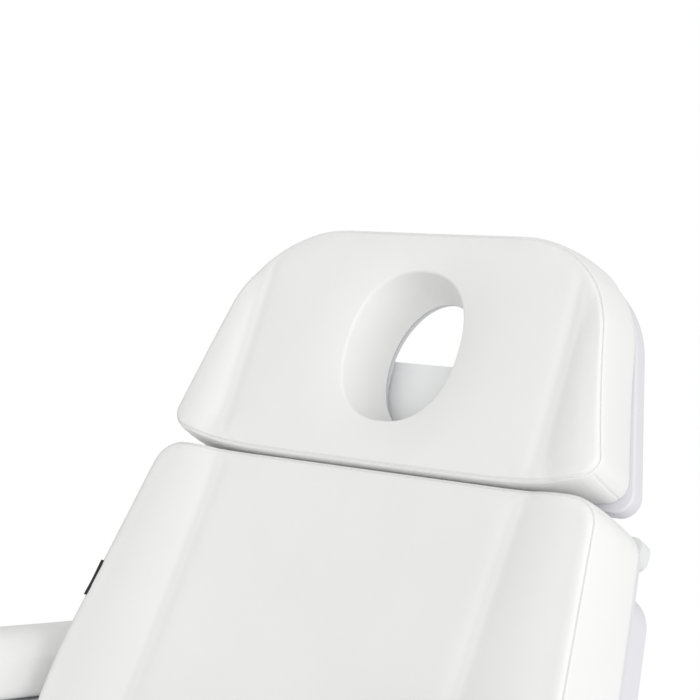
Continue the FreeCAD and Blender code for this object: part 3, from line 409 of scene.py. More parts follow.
def black_plastic():
    """Fine grained black moulding of motors, boxes and sockets."""
    finish = Finish("moulded_plastic_black", (0.03, 0.03, 0.033), 0.5)
    where = finish.place()
    grain = finish.cells(where, 1300.0)
    wear = finish.noise(where, 30.0, 4.0)
    finish.surface(Base_Color=finish.mixed((0.022, 0.022, 0.024), (0.045, 0.045, 0.048), wear),
                   Roughness=0.42 + grain * 0.2 + wear * 0.08)
    finish.bump(grain, 0.3, 0.0003)
    return finish.material


def natural_nylon():
    """Milky nylon of bushes and glides, with faint machining marks."""
    finish = Finish("natural_nylon", (0.76, 0.73, 0.65), 0.45)
    where = finish.place()
    cloud = finish.noise(where, 60.0, 3.0)
    marks = finish.noise(finish.place(stretch=(1.0, 20.0, 20.0)), 900.0)
    finish.surface(Base_Color=finish.mixed((0.73, 0.70, 0.61), (0.79, 0.77, 0.70), cloud),
                   Roughness=0.4 + marks * 0.15)
    finish.bump(marks, 0.1, 0.0002)
    return finish.material


def foot_rubber():
    """Black rubber: matt, dusty in patches, slightly pitted."""
    finish = Finish("foot_rubber", (0.03, 0.03, 0.03), 0.8, specular=0.3)
    where = finish.place()
    dust = finish.noise(where, 45.0, 5.0, 0.65)
    pits = finish.cells(where, 700.0)
    finish.surface(Base_Color=finish.mixed((0.022, 0.022, 0.023), (0.075, 0.073, 0.07), dust ** 2.0),
                   Roughness=0.7 + dust * 0.2)
    finish.bump(pits, 0.25, 0.0004)
    return finish.material


def woven_tag():
    """Black woven tag: warp and weft ribs that cross at a fine pitch, left blank."""
    finish = Finish("woven_tag_black", (0.02, 0.02, 0.022), 0.75, specular=0.25)
    weave = finish.place(BACK_ANGLE)
    warp = weave.math("SINE", weave.part(0) * 9000.0)
    weft = weave.math("SINE", weave.part(1) * 6000.0)
    rib = (warp * weft + 1.0) * 0.5
    finish.surface(Base_Color=finish.mixed((0.010, 0.010, 0.012), (0.035, 0.035, 0.038), rib),
                   Roughness=0.65 + rib * 0.2)
    finish.bump(rib, 0.5, 0.0003)
    return finish.material


finishes = {
    "upholstery": leatherette(),
    "shell_plastic": moulded_plastic(),
    "painted_steel": powder_coat("powder_coat_white", 0.76),
    "column_aluminium": anodised_aluminium(),
    "bright_steel": ground_steel(),
    "plywood": birch_ply("birch_ply_seat", SEAT_ANGLE),
    "black_plastic": black_plastic(),
    "nylon": natural_nylon(),
    "foot_rubber": foot_rubber(),
    "tag_cloth": woven_tag(),
}
leg_ply = birch_ply("birch_ply_leg", LEG_ANGLE)
own_finishes = {
    "legrest_board_left": leg_ply,
    "legrest_board_right": leg_ply,
    # The bracket has a lighter copy of the white powder coat: painted light that stands in for the light its plate
    # lacks behind the headrest
    "headrest_bracket": powder_coat("powder_coat_painted_light", 0.9),
}


def dress_frame():
    """Gives every CAD node its own finish, or that of its slot in the record."""
    for part in frame["record"]["subparts"]:
        mesh = frame["nodes"][part["node"]].data
        mesh.materials.clear()
        mesh.materials.append(own_finishes.get(part["node"], finishes[part["material_slot"]]))


# Surfaces


def grid_quads(numbers):
    """Quads of a sheet of vertex numbers, facing z where columns run along x and rows along y."""
    quads = [numbers[:-1, :-1], numbers[:-1, 1:], numbers[1:, 1:], numbers[1:, :-1]]
    return np.stack(quads, axis=-1)


def border(numbers):
    """Vertex numbers round a sheet: first row, last column, last row back, first column back."""
    return np.concatenate([numbers[0, :-1], numbers[:-1, -1], numbers[-1, :0:-1], numbers[:0:-1, 0]])


def wall_quads(loops):
    """Quads that join each closed loop of vertex numbers to the next, facing out of their middle."""
    ahead = np.roll(loops, -1, axis=1)
    return np.stack([loops[:-1], loops[1:], ahead[1:], ahead[:-1]], axis=-1).reshape(-1, 4)


def add_mesh(name, vertices, faces):
    """A smooth mesh object at the origin from whole arrays. Vertices that no face uses are dropped."""
    used, numbers = np.unique(faces, return_inverse=True)
    mesh = bpy.data.meshes.new(name)
    mesh.from_pydata(vertices[used].tolist(), [], numbers.reshape(faces.shape).tolist())
    mesh.shade_smooth()
    piece = bpy.data.objects.new(name, mesh)
    scene.collection.objects.link(piece)
    return piece


def finish_piece(piece, body, slot, node):
    """Gives a piece its finish and its body, and hides the CAD node that it stands for."""
    piece.data.materials.append(finishes[slot])
    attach(piece, body)
    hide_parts(node)


def smooth_step(share):
    """Smooth rise from 0 to 1, level at both ends."""
    share = np.clip(share, 0.0, 1.0)
    return share * share * (3 - 2 * share)


def quarter_round(share):
    """Fall of a quarter circle of radius one below its top: one at its edge, where the share is none,
    and none at its top and beyond."""
    return 1 - np.sqrt(1 - (1 - np.clip(share, 0.0, 1.0)) ** 2)


def rounded_side(corners):
    """Right edge of an outline, from its lower to its upper edge, with each (x, y, radius) corner
    rounded by a tangent arc: the corner's two tangent points and the arc about the point where the
    two edges, moved in by the radius, meet."""
    inner = [corner[:2] for corner in corners]
    points = np.array([(0.0, inner[0][1]), *inner, (0.0, inner[-1][1])])
    steps = np.diff(points, axis=0)
    heading = np.unwrap(np.arctan2(steps[:, 1], steps[:, 0]))
    arcs = []
    for (x, y, radius), start, end in zip(corners, heading[:-1], heading[1:]):
        middle = (start + end) / 2
        inwards = np.array([-math.sin(middle), math.cos(middle)])
        centre = np.array([x, y]) + radius / math.cos((end - start) / 2) * inwards
        turn = np.linspace(start, end, 40)
        arcs.append(centre + radius * np.stack([np.sin(turn), -np.cos(turn)], axis=1))
    return np.concatenate(arcs)


def spaced(start, end, step, close):
    """Places from start to end: at the close distances from both ends, and evenly between."""
    room = end - start - 2 * close[-1]
    count = max(int(round(room / step)), 1) + 1
    between = np.linspace(start + close[-1], end - close[-1], count)
    return np.concatenate([start + close[:-1], between, end - close[-2::-1]])


def snapped(marks, middle, reach):
    """Marks with those nearest to middle - reach and middle + reach moved onto them."""
    for place in (middle - reach, middle + reach):
        marks[np.abs(marks - place).argmin()] = place
    return marks


def spline_weights(knots, marks):
    """Matrix that takes values at knots to a natural cubic spline's values at marks. Its second
    derivatives solve the usual three-term equations, with none at the two ends."""
    count = len(knots)
    gap = np.diff(knots)
    system = np.eye(count)
    right = np.zeros((count, count))
    inner = np.arange(1, count - 1)
    system[inner, inner - 1] = gap[:-1]
    system[inner, inner] = 2 * (gap[:-1] + gap[1:])
    system[inner, inner + 1] = gap[1:]
    right[inner, inner - 1] = 6 / gap[:-1]
    right[inner, inner] = -6 / gap[:-1] - 6 / gap[1:]
    right[inner, inner + 1] = 6 / gap[1:]
    bend = np.linalg.solve(system, right)
    cell = np.clip(np.searchsorted(knots, marks) - 1, 0, count - 2)
    width = gap[cell][:, None]
    high = (marks - knots[cell])[:, None] / width
    low = 1 - high
    values = np.eye(count)
    curve = (low ** 3 - low) * bend[cell] + (high ** 3 - high) * bend[cell + 1]
    return low * values[cell] + high * values[cell + 1] + curve * width ** 2 / 6


def oval_size(a, b):
    """Size of the squarish oval through a point, whose half sizes are equal."""
    return (np.abs(a) ** HOLE_POWER + np.abs(b) ** HOLE_POWER) ** (1 / HOLE_POWER)


def oval_point(a, b):
    """Point of the squarish oval of half size one, in the direction of a point of the unit square."""
    circle_x, circle_y = a * np.sqrt(1 - b * b / 2), b * np.sqrt(1 - a * a / 2)
    size = oval_size(circle_x, circle_y)
    return circle_x / size, circle_y / size


# Upholstery

# Marks of the sheets, closest where a surface bends most. CLOSE and COARSE are distances in from an edge
# or a channel, for the fine sheet that shows and the coarse one that is blown out. BOLSTER and its coarse
# form are shares of the way over a bolster, WALL of the way down a wall and THROAT down the face hole.
# WRAP is a wrapped cover's way in below its hem, with its share of the wrap.
CLOSE = np.array([0.0, 0.6, 1.2, 1.6, 1.9, 2.2, 2.5, 2.8, 3.2, 3.8, 4.6, 5.4, 6.0, 6.4, 6.8, 7.3, 7.8,
                  8.4, 8.9, 9.5, 10.4, 12.5, 15.5, 19.5, 24.5, 30.0])
COARSE = np.array([0.0, 11.0])
COARSE_STEP = 13.0
BOLSTER = np.array([0.0, 0.016, 0.036, 0.06, 0.095, 0.14, 0.2, 0.27, 0.35, 0.43, 0.51, 0.59, 0.67, 0.74,
                    0.8, 0.855, 0.9, 0.935, 0.96, 0.98, 0.991, 1.0])
COARSE_BOLSTER = np.linspace(0.0, 1.0, 7)
WALL = np.array([0.0, 0.012, 0.026, 0.045, 0.075, 0.12, 0.18, 0.26, 0.35, 0.45, 0.55, 0.65, 0.75, 0.84,
                 0.9, 0.94, 0.965, 0.985, 1.0])
WRAP = np.array([(0.3, 0.8), (1.2, 1.0), (3.0, 1.0), (3.0, 0.0)])
THROAT = np.array([0.0, 0.004, 0.015, 0.034, 0.06, 0.095, 0.14, 0.2, 0.28, 0.38, 0.5, 0.62, 0.74, 0.84,
                   0.92, 0.97, 1.0])


@dataclass
class Cushion:
    """An upholstered pad in a group's frame. Its front is a sheet over rows of constant y, which run
    from edge to edge, and columns that follow the sewn channels. A wall goes from the front's edge
    seam to the rear hem, and a flat sheet closes the rear."""

    # Corners of its right half, heights of front and rear, and where its middle is across
    outline: list
    front: float
    back: float
    middle: float = 0.0
    # Distance of the channels from its middle, rise of the panel, negative for a hollow one, and of the
    # bolsters, width of the sewn strip between the two and how softly the bolster leaves it, and depth
    # and width of the groove in which the panel ends
    channel: float | None = None
    crown: float = 1.0
    wing: float = 8.5
    strip: tuple = (0.0, 6.0)
    groove: tuple = (1.0, 10.0)
    # Fall of the edge and how far in it begins, and radii of the rounded lower and upper ends
    roll: tuple = (2.0, 12.0)
    ends: tuple = (0.0, 0.0)
    # How far the hem stands out past the edge seam: at places y along the sides, and at the two ends
    draft: tuple = ((0.0, 8.0),)
    end_draft: tuple = (0.0, 0.0)
    # Wall: its belly, the depth of the edge seam, the radius of its rounded lower edge, how much of it
    # wraps a board, and whether its corners are tucked
    belly: float = 2.5
    seam: float = SEAM_DEPTH
    under: float = 0.0
    wrap: float = 0.0
    tucks: bool = True
    # Whether it has the face hole, how far the lower edge's ends are drawn up, the most that the cloth
    # swells, and the step of the fine sheet
    hole: bool = False
    bow: float = 0.0
    swell: float = 4.0
    step: float = 8.0

    def __post_init__(self):
        self.side = rounded_side(self.outline)
        self.start, self.end = self.side[0, 1], self.side[-1, 1]

    def half(self, y):
        """Half width of the outline."""
        return np.interp(y, self.side[:, 1], self.side[:, 0])

    def marks(self, start, end, fine):
        """Marks of the fine or the coarse sheet between two edges or channels."""
        if fine:
            return spaced(start, end, self.step, CLOSE)
        return spaced(start, end, COARSE_STEP, COARSE)

    def rows(self, fine):
        """Places y of the sheet's rows, with one at the upper and lower end of the hole's block."""
        rows = self.marks(self.start, self.end, fine)
        return snapped(rows, HOLE_MIDDLE, HOLE_BLOCK * HOLE_MOUTH[1]) if self.hole else rows

    def columns(self, fine):
        """Column marks: -1 to 1 between the channels, 1 to 2 over a bolster, or -1 to 1 in all."""
        half = self.side[:, 0].max() if self.channel is None else self.channel
        inner = self.marks(-half, half, fine) / half
        if self.channel is None:
            return inner
        if self.hole:
            inner = snapped(inner, 0.0, HOLE_BLOCK * HOLE_MOUTH[0] / self.channel)
        outer = 1 + (BOLSTER if fine else COARSE_BOLSTER)
        return np.concatenate([-outer[:0:-1], inner, outer[1:]])

    def plan(self, rows, columns):
        """Plan of the front: each row spans the outline, with its channel marks on the channels or,
        where the outline has closed in on them, just inside the edge."""
        edge = self.half(rows)[:, None]
        if self.channel is None:
            x = edge * columns
        else:
            seam = np.minimum(self.channel, edge - CHANNEL_INSET)
            inner = np.clip(columns, -1, 1)
            x = seam * inner + (edge - seam) * (columns - inner)
        y = np.broadcast_to(rows[:, None], x.shape)
        return self.opened(x, y) if self.hole else (x, y)

    def hole_block(self, rows, columns):
        """First and last rows and columns of the block that opens into the face hole."""
        wide, high = HOLE_MOUTH
        marks = [(rows, HOLE_MIDDLE, high), (columns * self.channel, 0.0, wide)]
        return [int(np.abs(values - middle - side * half).argmin())
                for values, middle, half in marks for side in (-HOLE_BLOCK, HOLE_BLOCK)]

    def opened(self, x, y):
        """The plan with its middle block drawn into the oval: square rings about the hole's middle
        become rounded ones, less and less with distance."""
        wide, high = HOLE_MOUTH
        a, b = x / wide / HOLE_BLOCK, (y - HOLE_MIDDLE) / high / HOLE_BLOCK
        ring = np.maximum(np.maximum(np.abs(a), np.abs(b)), 1e-6)
        oval_x, oval_y = oval_point(a / ring, b / ring)
        outside = np.maximum((np.abs(a) - 1) / HOLE_FADE[0], (np.abs(b) - 1) / HOLE_FADE[1])
        fade = smooth_step(1 - outside)
        return (x + fade * (wide * oval_x * ring - x),
                y + fade * (HOLE_MIDDLE + high * oval_y * ring - y))

    def edge_distance(self, x, y):
        """Shortest way from points to the outline, taken as short straight runs."""
        right = self.side[::2]
        outline = np.concatenate([right, right[::-1] * (-1, 1), right[:1]])
        start, run = outline[:-1], np.diff(outline, axis=0)
        length = np.maximum((run ** 2).sum(1), 1e-9)
        away_x, away_y = x[..., None] - start[:, 0], y[..., None] - start[:, 1]
        share = np.clip((away_x * run[:, 0] + away_y * run[:, 1]) / length, 0.0, 1.0)
        return np.hypot(away_x - share * run[:, 0], away_y - share * run[:, 1]).min(-1)

    def height(self, x, y):
        """Height of the front: a plain crown, or panel and bolsters, less an edge that rolls off as a
        parabola, quarter-round ends, the edge seam as a narrow dip and the dish round the face hole.
        Faint puckers, a product of two bent waves, die away from the seam."""
        away = self.edge_distance(x, y)
        edge = self.half(y)
        z = np.full(x.shape, self.front)
        if self.channel is None:
            z += self.crown * np.sin(np.clip(away / edge.max(), 0.0, 1.0) * math.pi / 2)
        else:
            z += self.relief(x, edge, away)
        fall, reach = self.roll
        z -= fall * (1 - np.clip(away / reach, 0.0, 1.0)) ** 2
        for radius, inside in zip(self.ends, (y - self.start, self.end - y)):
            if radius:
                z -= radius * quarter_round(inside / radius)
        across = np.sin(PUCKER_TURN[0] * x + PUCKER_SWAY * np.sin(PUCKER_DRIFT[1] * y))
        along = np.sin(PUCKER_TURN[1] * y + np.sin(PUCKER_DRIFT[0] * x))
        fade = np.exp(-away / PUCKER_REACH) * np.clip(away / PUCKER_START, 0.0, 1.0)
        z += PUCKER_HEIGHT * across * along * fade
        z -= self.seam * np.exp(-(away / SEAM_WIDTH) ** 2)
        if self.hole:
            oval = oval_size(x / HOLE_MOUTH[0], (y - HOLE_MIDDLE) / HOLE_MOUTH[1])
            outside = (oval - 1) * HOLE_MOUTH.mean()
            z -= HOLE_DISH * (1 - np.clip(outside / HOLE_DISH_REACH, 0.0, 1.0)) ** 2
        return z

    def relief(self, x, edge, away):
        """Panel, crowned or hollow as a parabola across, and bolsters, each a parabola that rises from
        the sewn strip and is lifted at the cushion's corners. The panel ends in a groove, and the far
        side of the strip has a stitch line. Both run out towards the edge."""
        beyond = np.abs(x) - self.channel
        across = 1 - np.clip(np.abs(x) / self.channel, 0.0, 1.0) ** 2
        panel = self.crown * across * np.sin(np.clip(away / CROWN_FADE, 0.0, 1.0) * math.pi / 2)
        strip, softness = self.strip
        past = beyond - strip
        run = np.maximum(WING_RUN, WING_SHARE * (edge - self.channel))
        over = (past + np.hypot(past, softness)) / 2 / run
        corner = smooth_step((np.abs(x) - CORNER_START) / CORNER_RUN)
        lift = CORNER_SHARE * corner * np.exp(-(away / CORNER_REACH) ** 2)
        bolster = self.wing * np.maximum(1 - (1 - over) ** 2, lift)
        depth, width = self.groove
        groove = depth * np.exp(-(np.minimum(beyond, 0.0) / width) ** 2)
        stitch = STITCH_DEPTH * np.exp(-(past / STITCH_WIDTH) ** 2)
        return panel + bolster - np.clip(away / CHANNEL_FADE, 0.0, 1.0) * (groove + stitch)

    def sheet(self, rows, columns):
        """Points of the front before it swells."""
        x, y = self.plan(rows, columns)
        return np.stack([x, y, self.height(x, y)], axis=-1)

    def swollen(self, name, rows, columns):
        """How far the fine front swells: a coarse front sheet is held along its edge, channels and
        hole, blown out as cloth, and its movement is read at the fine marks by cubic splines."""
        coarse_rows, coarse_columns = self.rows(False), self.columns(False)
        sheet = self.sheet(coarse_rows, coarse_columns)
        numbers = np.arange(sheet[..., 0].size).reshape(sheet.shape[:2])
        held = np.zeros(numbers.shape, bool)
        held[[0, -1]] = True
        held[:, [0, -1]] = True
        if self.channel is not None:
            held |= np.abs(np.abs(coarse_columns) - 1) < 1e-6
        if self.hole:
            first, last, left, right = self.hole_block(coarse_rows, coarse_columns)
            held[first:last + 1, left:right + 1] = True
        moved = blown(name, sheet.reshape(-1, 3), grid_quads(numbers).reshape(-1, 4), numbers[held])
        moved = moved.reshape(sheet.shape) * (self.swell / np.linalg.norm(moved, axis=-1).max())
        moved[held] = 0.0
        down = spline_weights(coarse_rows, rows)
        across = spline_weights(coarse_columns, columns)
        return np.einsum("ri,cj,ijk->rck", down, across, moved)

    def bulge(self, deep, out):
        """How far the wall stands out of a straight one: a shallow belly and a shoulder next to the
        seam, less the hem, a rounded lower edge and the tucks where the wall faces a corner."""
        share = WALL[:, None]
        down = share * deep
        bulge = self.belly * np.sin(math.pi * share) ** BELLY_POWER
        bulge = bulge + SHOULDER_SHARE * self.seam * (1 - np.exp(-down / SHOULDER_RUN))
        if not self.wrap:
            bulge = bulge - HEM_DEPTH * np.exp(-((deep - down) / HEM_WIDTH) ** 2)
        if self.under:
            bulge = bulge - self.under * quarter_round((deep - down) / self.under)
        if self.tucks:
            turn = np.abs(out[:, 0]) - np.abs(out[:, 1])
            tuck = TUCK_DEPTH * np.exp(-(turn / TUCK_WIDTH) ** 2)
            bulge = bulge - tuck * np.clip(share / TUCK_START, 0.0, 1.0)
        return bulge

    def wall(self, loop, bowed):
        """Rings from the edge seam to the rear hem. Each point moves straight back and outwards by draft
        and bulge, and loses part of the front's bow on the way. Next to the seam the cover stands up in
        a fold. A cover that wraps its board goes on down the board's edge and folds back up beside it."""
        ahead = np.roll(loop, -1, axis=0) - np.roll(loop, 1, axis=0)
        out = np.stack([ahead[:, 1], -ahead[:, 0]], axis=1)
        out /= np.linalg.norm(out, axis=1, keepdims=True)
        deep = loop[:, 2] - self.back
        share = WALL[:, None]
        down = share * deep
        bulge = self.bulge(deep, out)
        sideways = np.interp(loop[:, 1], *np.transpose(self.draft))
        endways = np.where(out[:, 1] < 0, *self.end_draft)
        x = loop[:, 0] + out[:, 0] * (sideways * share + bulge)
        y = loop[:, 1] + out[:, 1] * (endways * share + bulge) - BOW_LOST * bowed * share
        stand = SEAM_STAND * self.seam * down / SEAM_WIDTH * np.exp(1 - down / SEAM_WIDTH)
        rings = np.stack([x, y, loop[:, 2] - down + stand], axis=-1)
        if self.wrap:
            fold = np.repeat(rings[-1:], len(WRAP), axis=0)
            fold[..., :2] -= WRAP[:, None, :1] * out
            fold[..., 2] -= WRAP[:, 1:] * self.wrap
            rings = np.concatenate([rings, fold])
        return rings

    def throat(self, loop):
        """Rings of the face hole, from its lip to the rear: a quarter-round lip, then a taper from the
        squarish oval to an ellipse."""
        unit = (loop[:, :2] - (0.0, HOLE_MIDDLE)) / HOLE_MOUTH
        share = THROAT[:, None]
        depth = share * (loop[:, 2] - HOLE_REAR)
        lip = HOLE_LIP * quarter_round(depth / HOLE_LIP_DEPTH)
        rounded = np.hypot(unit[:, 0], unit[:, 1]) ** -share
        wide, high = (size + lip + (rear - size) * share for size, rear in zip(HOLE_HALF, HOLE_REAR_HALF))
        x = unit[:, 0] * rounded * wide
        y = HOLE_MIDDLE + (HOLE_REAR_MIDDLE - HOLE_MIDDLE) * share + unit[:, 1] * rounded * high
        return np.stack([x, y, loop[:, 2] - depth], axis=-1)

    def build(self, name):
        """Vertices and faces of the whole pad: front, wall, rear and, where it has one, the hole. The
        lower edge's ends are drawn up by a bow that grows steeply across and fades out upwards."""
        rows, columns = self.rows(True), self.columns(True)
        front = self.sheet(rows, columns)
        front += self.swollen(name, rows, columns)
        share = (front[..., 1] - self.start) / (self.end - self.start)
        across = front[..., 0] / self.half(self.start + BOW_ROW)
        bowed = self.bow * across ** BOW_POWER * (1 - share) ** 2
        front[..., 1] += bowed
        rear = front.copy()
        rear[..., 2] = self.back
        count = front[..., 0].size
        front_numbers = np.arange(count).reshape(front.shape[:2])
        rear_numbers = front_numbers + count
        cells = np.ones((len(rows) - 1, len(columns) - 1), bool)
        flat = front.reshape(-1, 3)
        edge = border(front_numbers)
        walls = self.wall(flat[edge], bowed.reshape(-1)[edge])
        rear.reshape(-1, 3)[edge] = walls[-1]
        rings = [(walls, edge, border(rear_numbers), False)]
        if self.hole:
            first, last, left, right = self.hole_block(rows, columns)
            cells[first:last, left:right] = False
            lip = border(front_numbers[first:last + 1, left:right + 1])
            throat = self.throat(flat[lip])
            rear.reshape(-1, 3)[lip] = throat[-1]
            rings.append((throat, lip, lip + count, True))
        vertices = [flat, rear.reshape(-1, 3)]
        faces = [grid_quads(front_numbers)[cells], grid_quads(rear_numbers)[cells][:, ::-1]]
        filled = 2 * count
        for ring, top, bottom, inwards in rings:
            between = filled + np.arange(ring[1:-1, :, 0].size).reshape(ring[1:-1].shape[:2])
            filled += between.size
            quads = wall_quads(np.concatenate([top[None], between, bottom[None]]))
            vertices.append(ring[1:-1].reshape(-1, 3))
            faces.append(quads[:, ::-1] if inwards else quads)
        vertices = np.concatenate(vertices)
        vertices[:, 0] += self.middle
        return vertices, np.concatenate(faces)


def blown(name, points, faces, held):
    """Movement of a sheet's points in millimetres when it is held at some and blown out as cloth."""
    sheet = add_mesh(name + ".cloth", points * MM, faces)
    group = sheet.vertex_groups.new(name="held")
    group.add(held.tolist(), 1.0, "REPLACE")
    cloth = sheet.modifiers.new("Cloth", "CLOTH")
    settings = cloth.settings
    settings.quality = 6
    settings.mass = 0.3
    settings.tension_stiffness = 25.0
    settings.compression_stiffness = 25.0
    settings.bending_stiffness = 2.0
    settings.vertex_group_mass = group.name
    settings.use_pressure = True
    settings.uniform_pressure_force = 4.0
    settings.effector_weights.gravity = 0.0
    cloth.collision_settings.use_collision = False
    for number in range(CLOTH_FRAMES):
        scene.frame_set(number + 1)
    shaped = sheet.evaluated_get(bpy.context.evaluated_depsgraph_get()).to_mesh()
    moved = np.zeros(len(shaped.vertices) * 3)
    shaped.vertices.foreach_get("co", moved)
    scene.frame_set(1)
    bpy.data.objects.remove(sheet)
    return moved.reshape(-1, 3) / MM - points


def add_cushion(name, cushion, place, body, mirror=False):
    """An upholstered piece that stands for the CAD node of the same name."""
    vertices, faces = cushion.build(name)
    if mirror:
        vertices = vertices * (-1, 1, 1)
        faces = faces[:, ::-1]
    piece = add_mesh(name + "_cover", place.world(vertices), faces)
    finish_piece(piece, body, "upholstery", name)


def headrest_cushion():
    """Headrest: face hole, a slightly hollow panel between two bolsters, and drawn-up lower corners."""
    top = HEADREST_OUTLINE[-1][1]
    return Cushion(HEADREST_OUTLINE, HEADREST_FRONT, HEADREST_BACK, channel=CHANNEL, crown=-2.5, wing=9.0,
                   strip=(11.0, 2.0), groove=(1.7, 9.0), roll=(4.5, 26.0),
                   draft=((0.0, -1.0), (120.0, 0.0), (top, 6.0)), end_draft=(0.0, 8.0),
                   hole=True, bow=16.0, swell=1.2, step=7.0)


def backrest_cushion():
    """Backrest: a hollow panel between two bolsters, widest at the arms, its lower end rounded off."""
    start, waist, top = [y for x, y, radius in BACKREST_OUTLINE]
    return Cushion(BACKREST_OUTLINE, CUSHION_FRONT, CUSHION_BACK, channel=BACKREST_CHANNEL, crown=-7.0,
                   strip=(8.0, 2.5), groove=(1.7, 11.0), ends=(52.0, 0.0),
                   draft=((start, 8.0), (waist, 22.0), (top, 13.0)), swell=1.2)


def seat_cushion():
    """Seat: two bolsters, both ends rounded off, its cover wrapped round the board's edge."""
    return Cushion(SEAT_OUTLINE, CUSHION_FRONT, CUSHION_BACK, channel=CHANNEL, ends=(20.0, 50.0),
                   end_draft=(8.0, 8.0), belly=0.0, wrap=BOARD_WRAP)


def armrest_pad():
    """Armrest: a slim pad with round ends and round edges above and below, and no seam."""
    return Cushion(ARMREST_OUTLINE, ARMREST_FRONT, ARMREST_BACK, ARMREST_MIDDLE, crown=4.0,
                   roll=(25.0, 29.0), draft=((0.0, 1.0),), end_draft=(1.0, 1.0), belly=1.0, seam=0.0,
                   under=14.0, tucks=False, swell=1.5, step=4.0)


def legrest_cushion():
    """Leg rest: a crowned pad with soft edges, its cover wrapped round the board's edge."""
    return Cushion(LEGREST_OUTLINE, LEGREST_FRONT, LEGREST_BACK, LEGREST_MIDDLE, crown=5.0,
                   roll=(12.0, 24.0), draft=((0.0, 3.0),), end_draft=(3.0, 3.0), belly=1.0,
                   wrap=BOARD_WRAP, swell=5.0)


def add_upholstery():
    """Headrest, backrest, seat, armrests and leg rests. The left ones mirror the right ones."""
    add_cushion("headrest_cushion", headrest_cushion(), head_place, "headrest")
    add_cushion("backrest_cushion", backrest_cushion(), back_place, "backrest")
    add_cushion("seat_cushion", seat_cushion(), seat_place, "seat")
    for side, mirror in (("right", False), ("left", True)):
        add_cushion("armrest_pad_" + side, armrest_pad(), seat_place, "armrest_" + side, mirror)
        add_cushion("legrest_cushion_" + side, legrest_cushion(), leg_place, "legrest_" + side, mirror)


def add_headrest_board():
    """Moulded back board of the headrest: one closed profile carried round. It goes out over the front
    from the face hole to the rim, down the rim, in over the rear and back through the hole, with
    rounded edges. A point of the profile lies a share of the way from the hole to the outline."""
    side = rounded_side(BOARD_OUTLINE)
    lower = np.linspace((0.0, side[0, 1]), side[0], 24)
    upper = np.linspace(side[-1], (0.0, side[-1, 1]), 24)
    side = np.concatenate([lower[:-1], side, upper[1:]])
    middle = (0.0, BOARD_HOLE_MIDDLE)
    way = np.concatenate([side, side[-2:0:-1] * (-1, 1)]) - middle
    hole = way / np.linalg.norm(way / BOARD_HOLE_HALF, axis=1, keepdims=True)
    turn = np.linspace(0.0, math.pi / 2, 5)
    inset, fall = BOARD_EDGE * (np.sin(turn) - 1), BOARD_EDGE * (np.cos(turn) - 1)
    front, rear = HEADREST_BACK, HEADREST_BACK - BOARD_DEPTH
    rim_inset = np.concatenate([inset, inset[::-1]])
    rim_height = np.concatenate([front + fall, rear - fall[::-1]])
    over = np.linspace(0.12, 0.88, 6)
    level = np.zeros_like(over)
    shares = np.concatenate([over, np.ones_like(rim_inset), over[::-1], np.zeros_like(rim_inset)])
    insets = np.concatenate([level, rim_inset, level, -rim_inset])
    heights = np.concatenate([level + front, rim_height, level + rear, rim_height[::-1]])
    length = np.linalg.norm(way - hole, axis=1)
    share = shares[:, None] + insets[:, None] / length
    plan = middle + hole + (way - hole) * share[..., None]
    height = np.broadcast_to(heights[:, None], share.shape)
    points = np.concatenate([plan, height[..., None]], axis=-1)
    numbers = np.arange(share.size).reshape(share.shape)
    faces = wall_quads(np.concatenate([numbers, numbers[:1]]))
    piece = add_mesh("headrest_board_moulding", head_place.world(points.reshape(-1, 3)), faces)
    finish_piece(piece, "headrest", "shell_plastic", "headrest_board")


def add_side_tag():
    """Folded woven tag in the backrest's left seam: a ribbon whose profile runs out from the seam, turns
    over in a half circle and runs back in, carried along the seam with a slight wave."""
    along = np.linspace(TAG_TOP - TAG_LENGTH, TAG_TOP, 29)[:, None]
    fold = np.linspace(-math.pi / 2, math.pi / 2, 9)
    run = np.linspace(-TAG_ROOT, TAG_REACH, 9)[:-1]
    flat = np.full_like(run, TAG_FOLD)
    out = np.concatenate([run, TAG_REACH + TAG_FOLD * np.cos(fold), run[::-1]])
    rise = np.concatenate([-flat, TAG_FOLD * np.sin(fold), flat])
    waist, top = BACKREST_OUTLINE[1:]
    edge = np.interp(along, (waist[1], top[1]), (waist[0], top[0]))
    wave = TAG_WAVE * np.sin(along / TAG_WAVE_RUN) * np.clip(out / TAG_REACH, 0.0, 1.0)
    x = -edge - out
    points = np.stack([x, np.broadcast_to(along, x.shape), TAG_HEIGHT + rise + wave], axis=-1)
    faces = grid_quads(np.arange(x.size).reshape(x.shape)).reshape(-1, 4)
    piece = add_mesh("side_tag_loop", back_place.world(points.reshape(-1, 3)), faces)
    skin = piece.modifiers.new("ribbon", "SOLIDIFY")
    skin.thickness = TAG_THICK * MM
    skin.offset = 0.0
    finish_piece(piece, "backrest", "tag_cloth", "side_tag")


# Stage


def floor_finish():
    """Pale floor: soft mottled white that fades out away from the chair."""
    finish = Finish("floor_white", (0.92, 0.92, 0.92), 0.7, specular=0.2)
    where = finish.place()
    away = finish.node("ShaderNodeVectorMath", {"operation": "LENGTH"}, where, output="Value")
    mottle = finish.noise(where, 3.0, 3.0)
    finish.surface(Base_Color=finish.mixed((0.90, 0.90, 0.90), (0.94, 0.94, 0.94), mottle))
    shown = Flow(finish, finish.shader.outputs["BSDF"])
    clear = finish.node("ShaderNodeBsdfTransparent", {})
    faded = finish.node("ShaderNodeMixShader", {}, (away - FLOOR_FADE).clamp(), shown, clear)
    finish.put(finish.tree.nodes["Material Output"].inputs["Surface"], faded)
    return finish.material


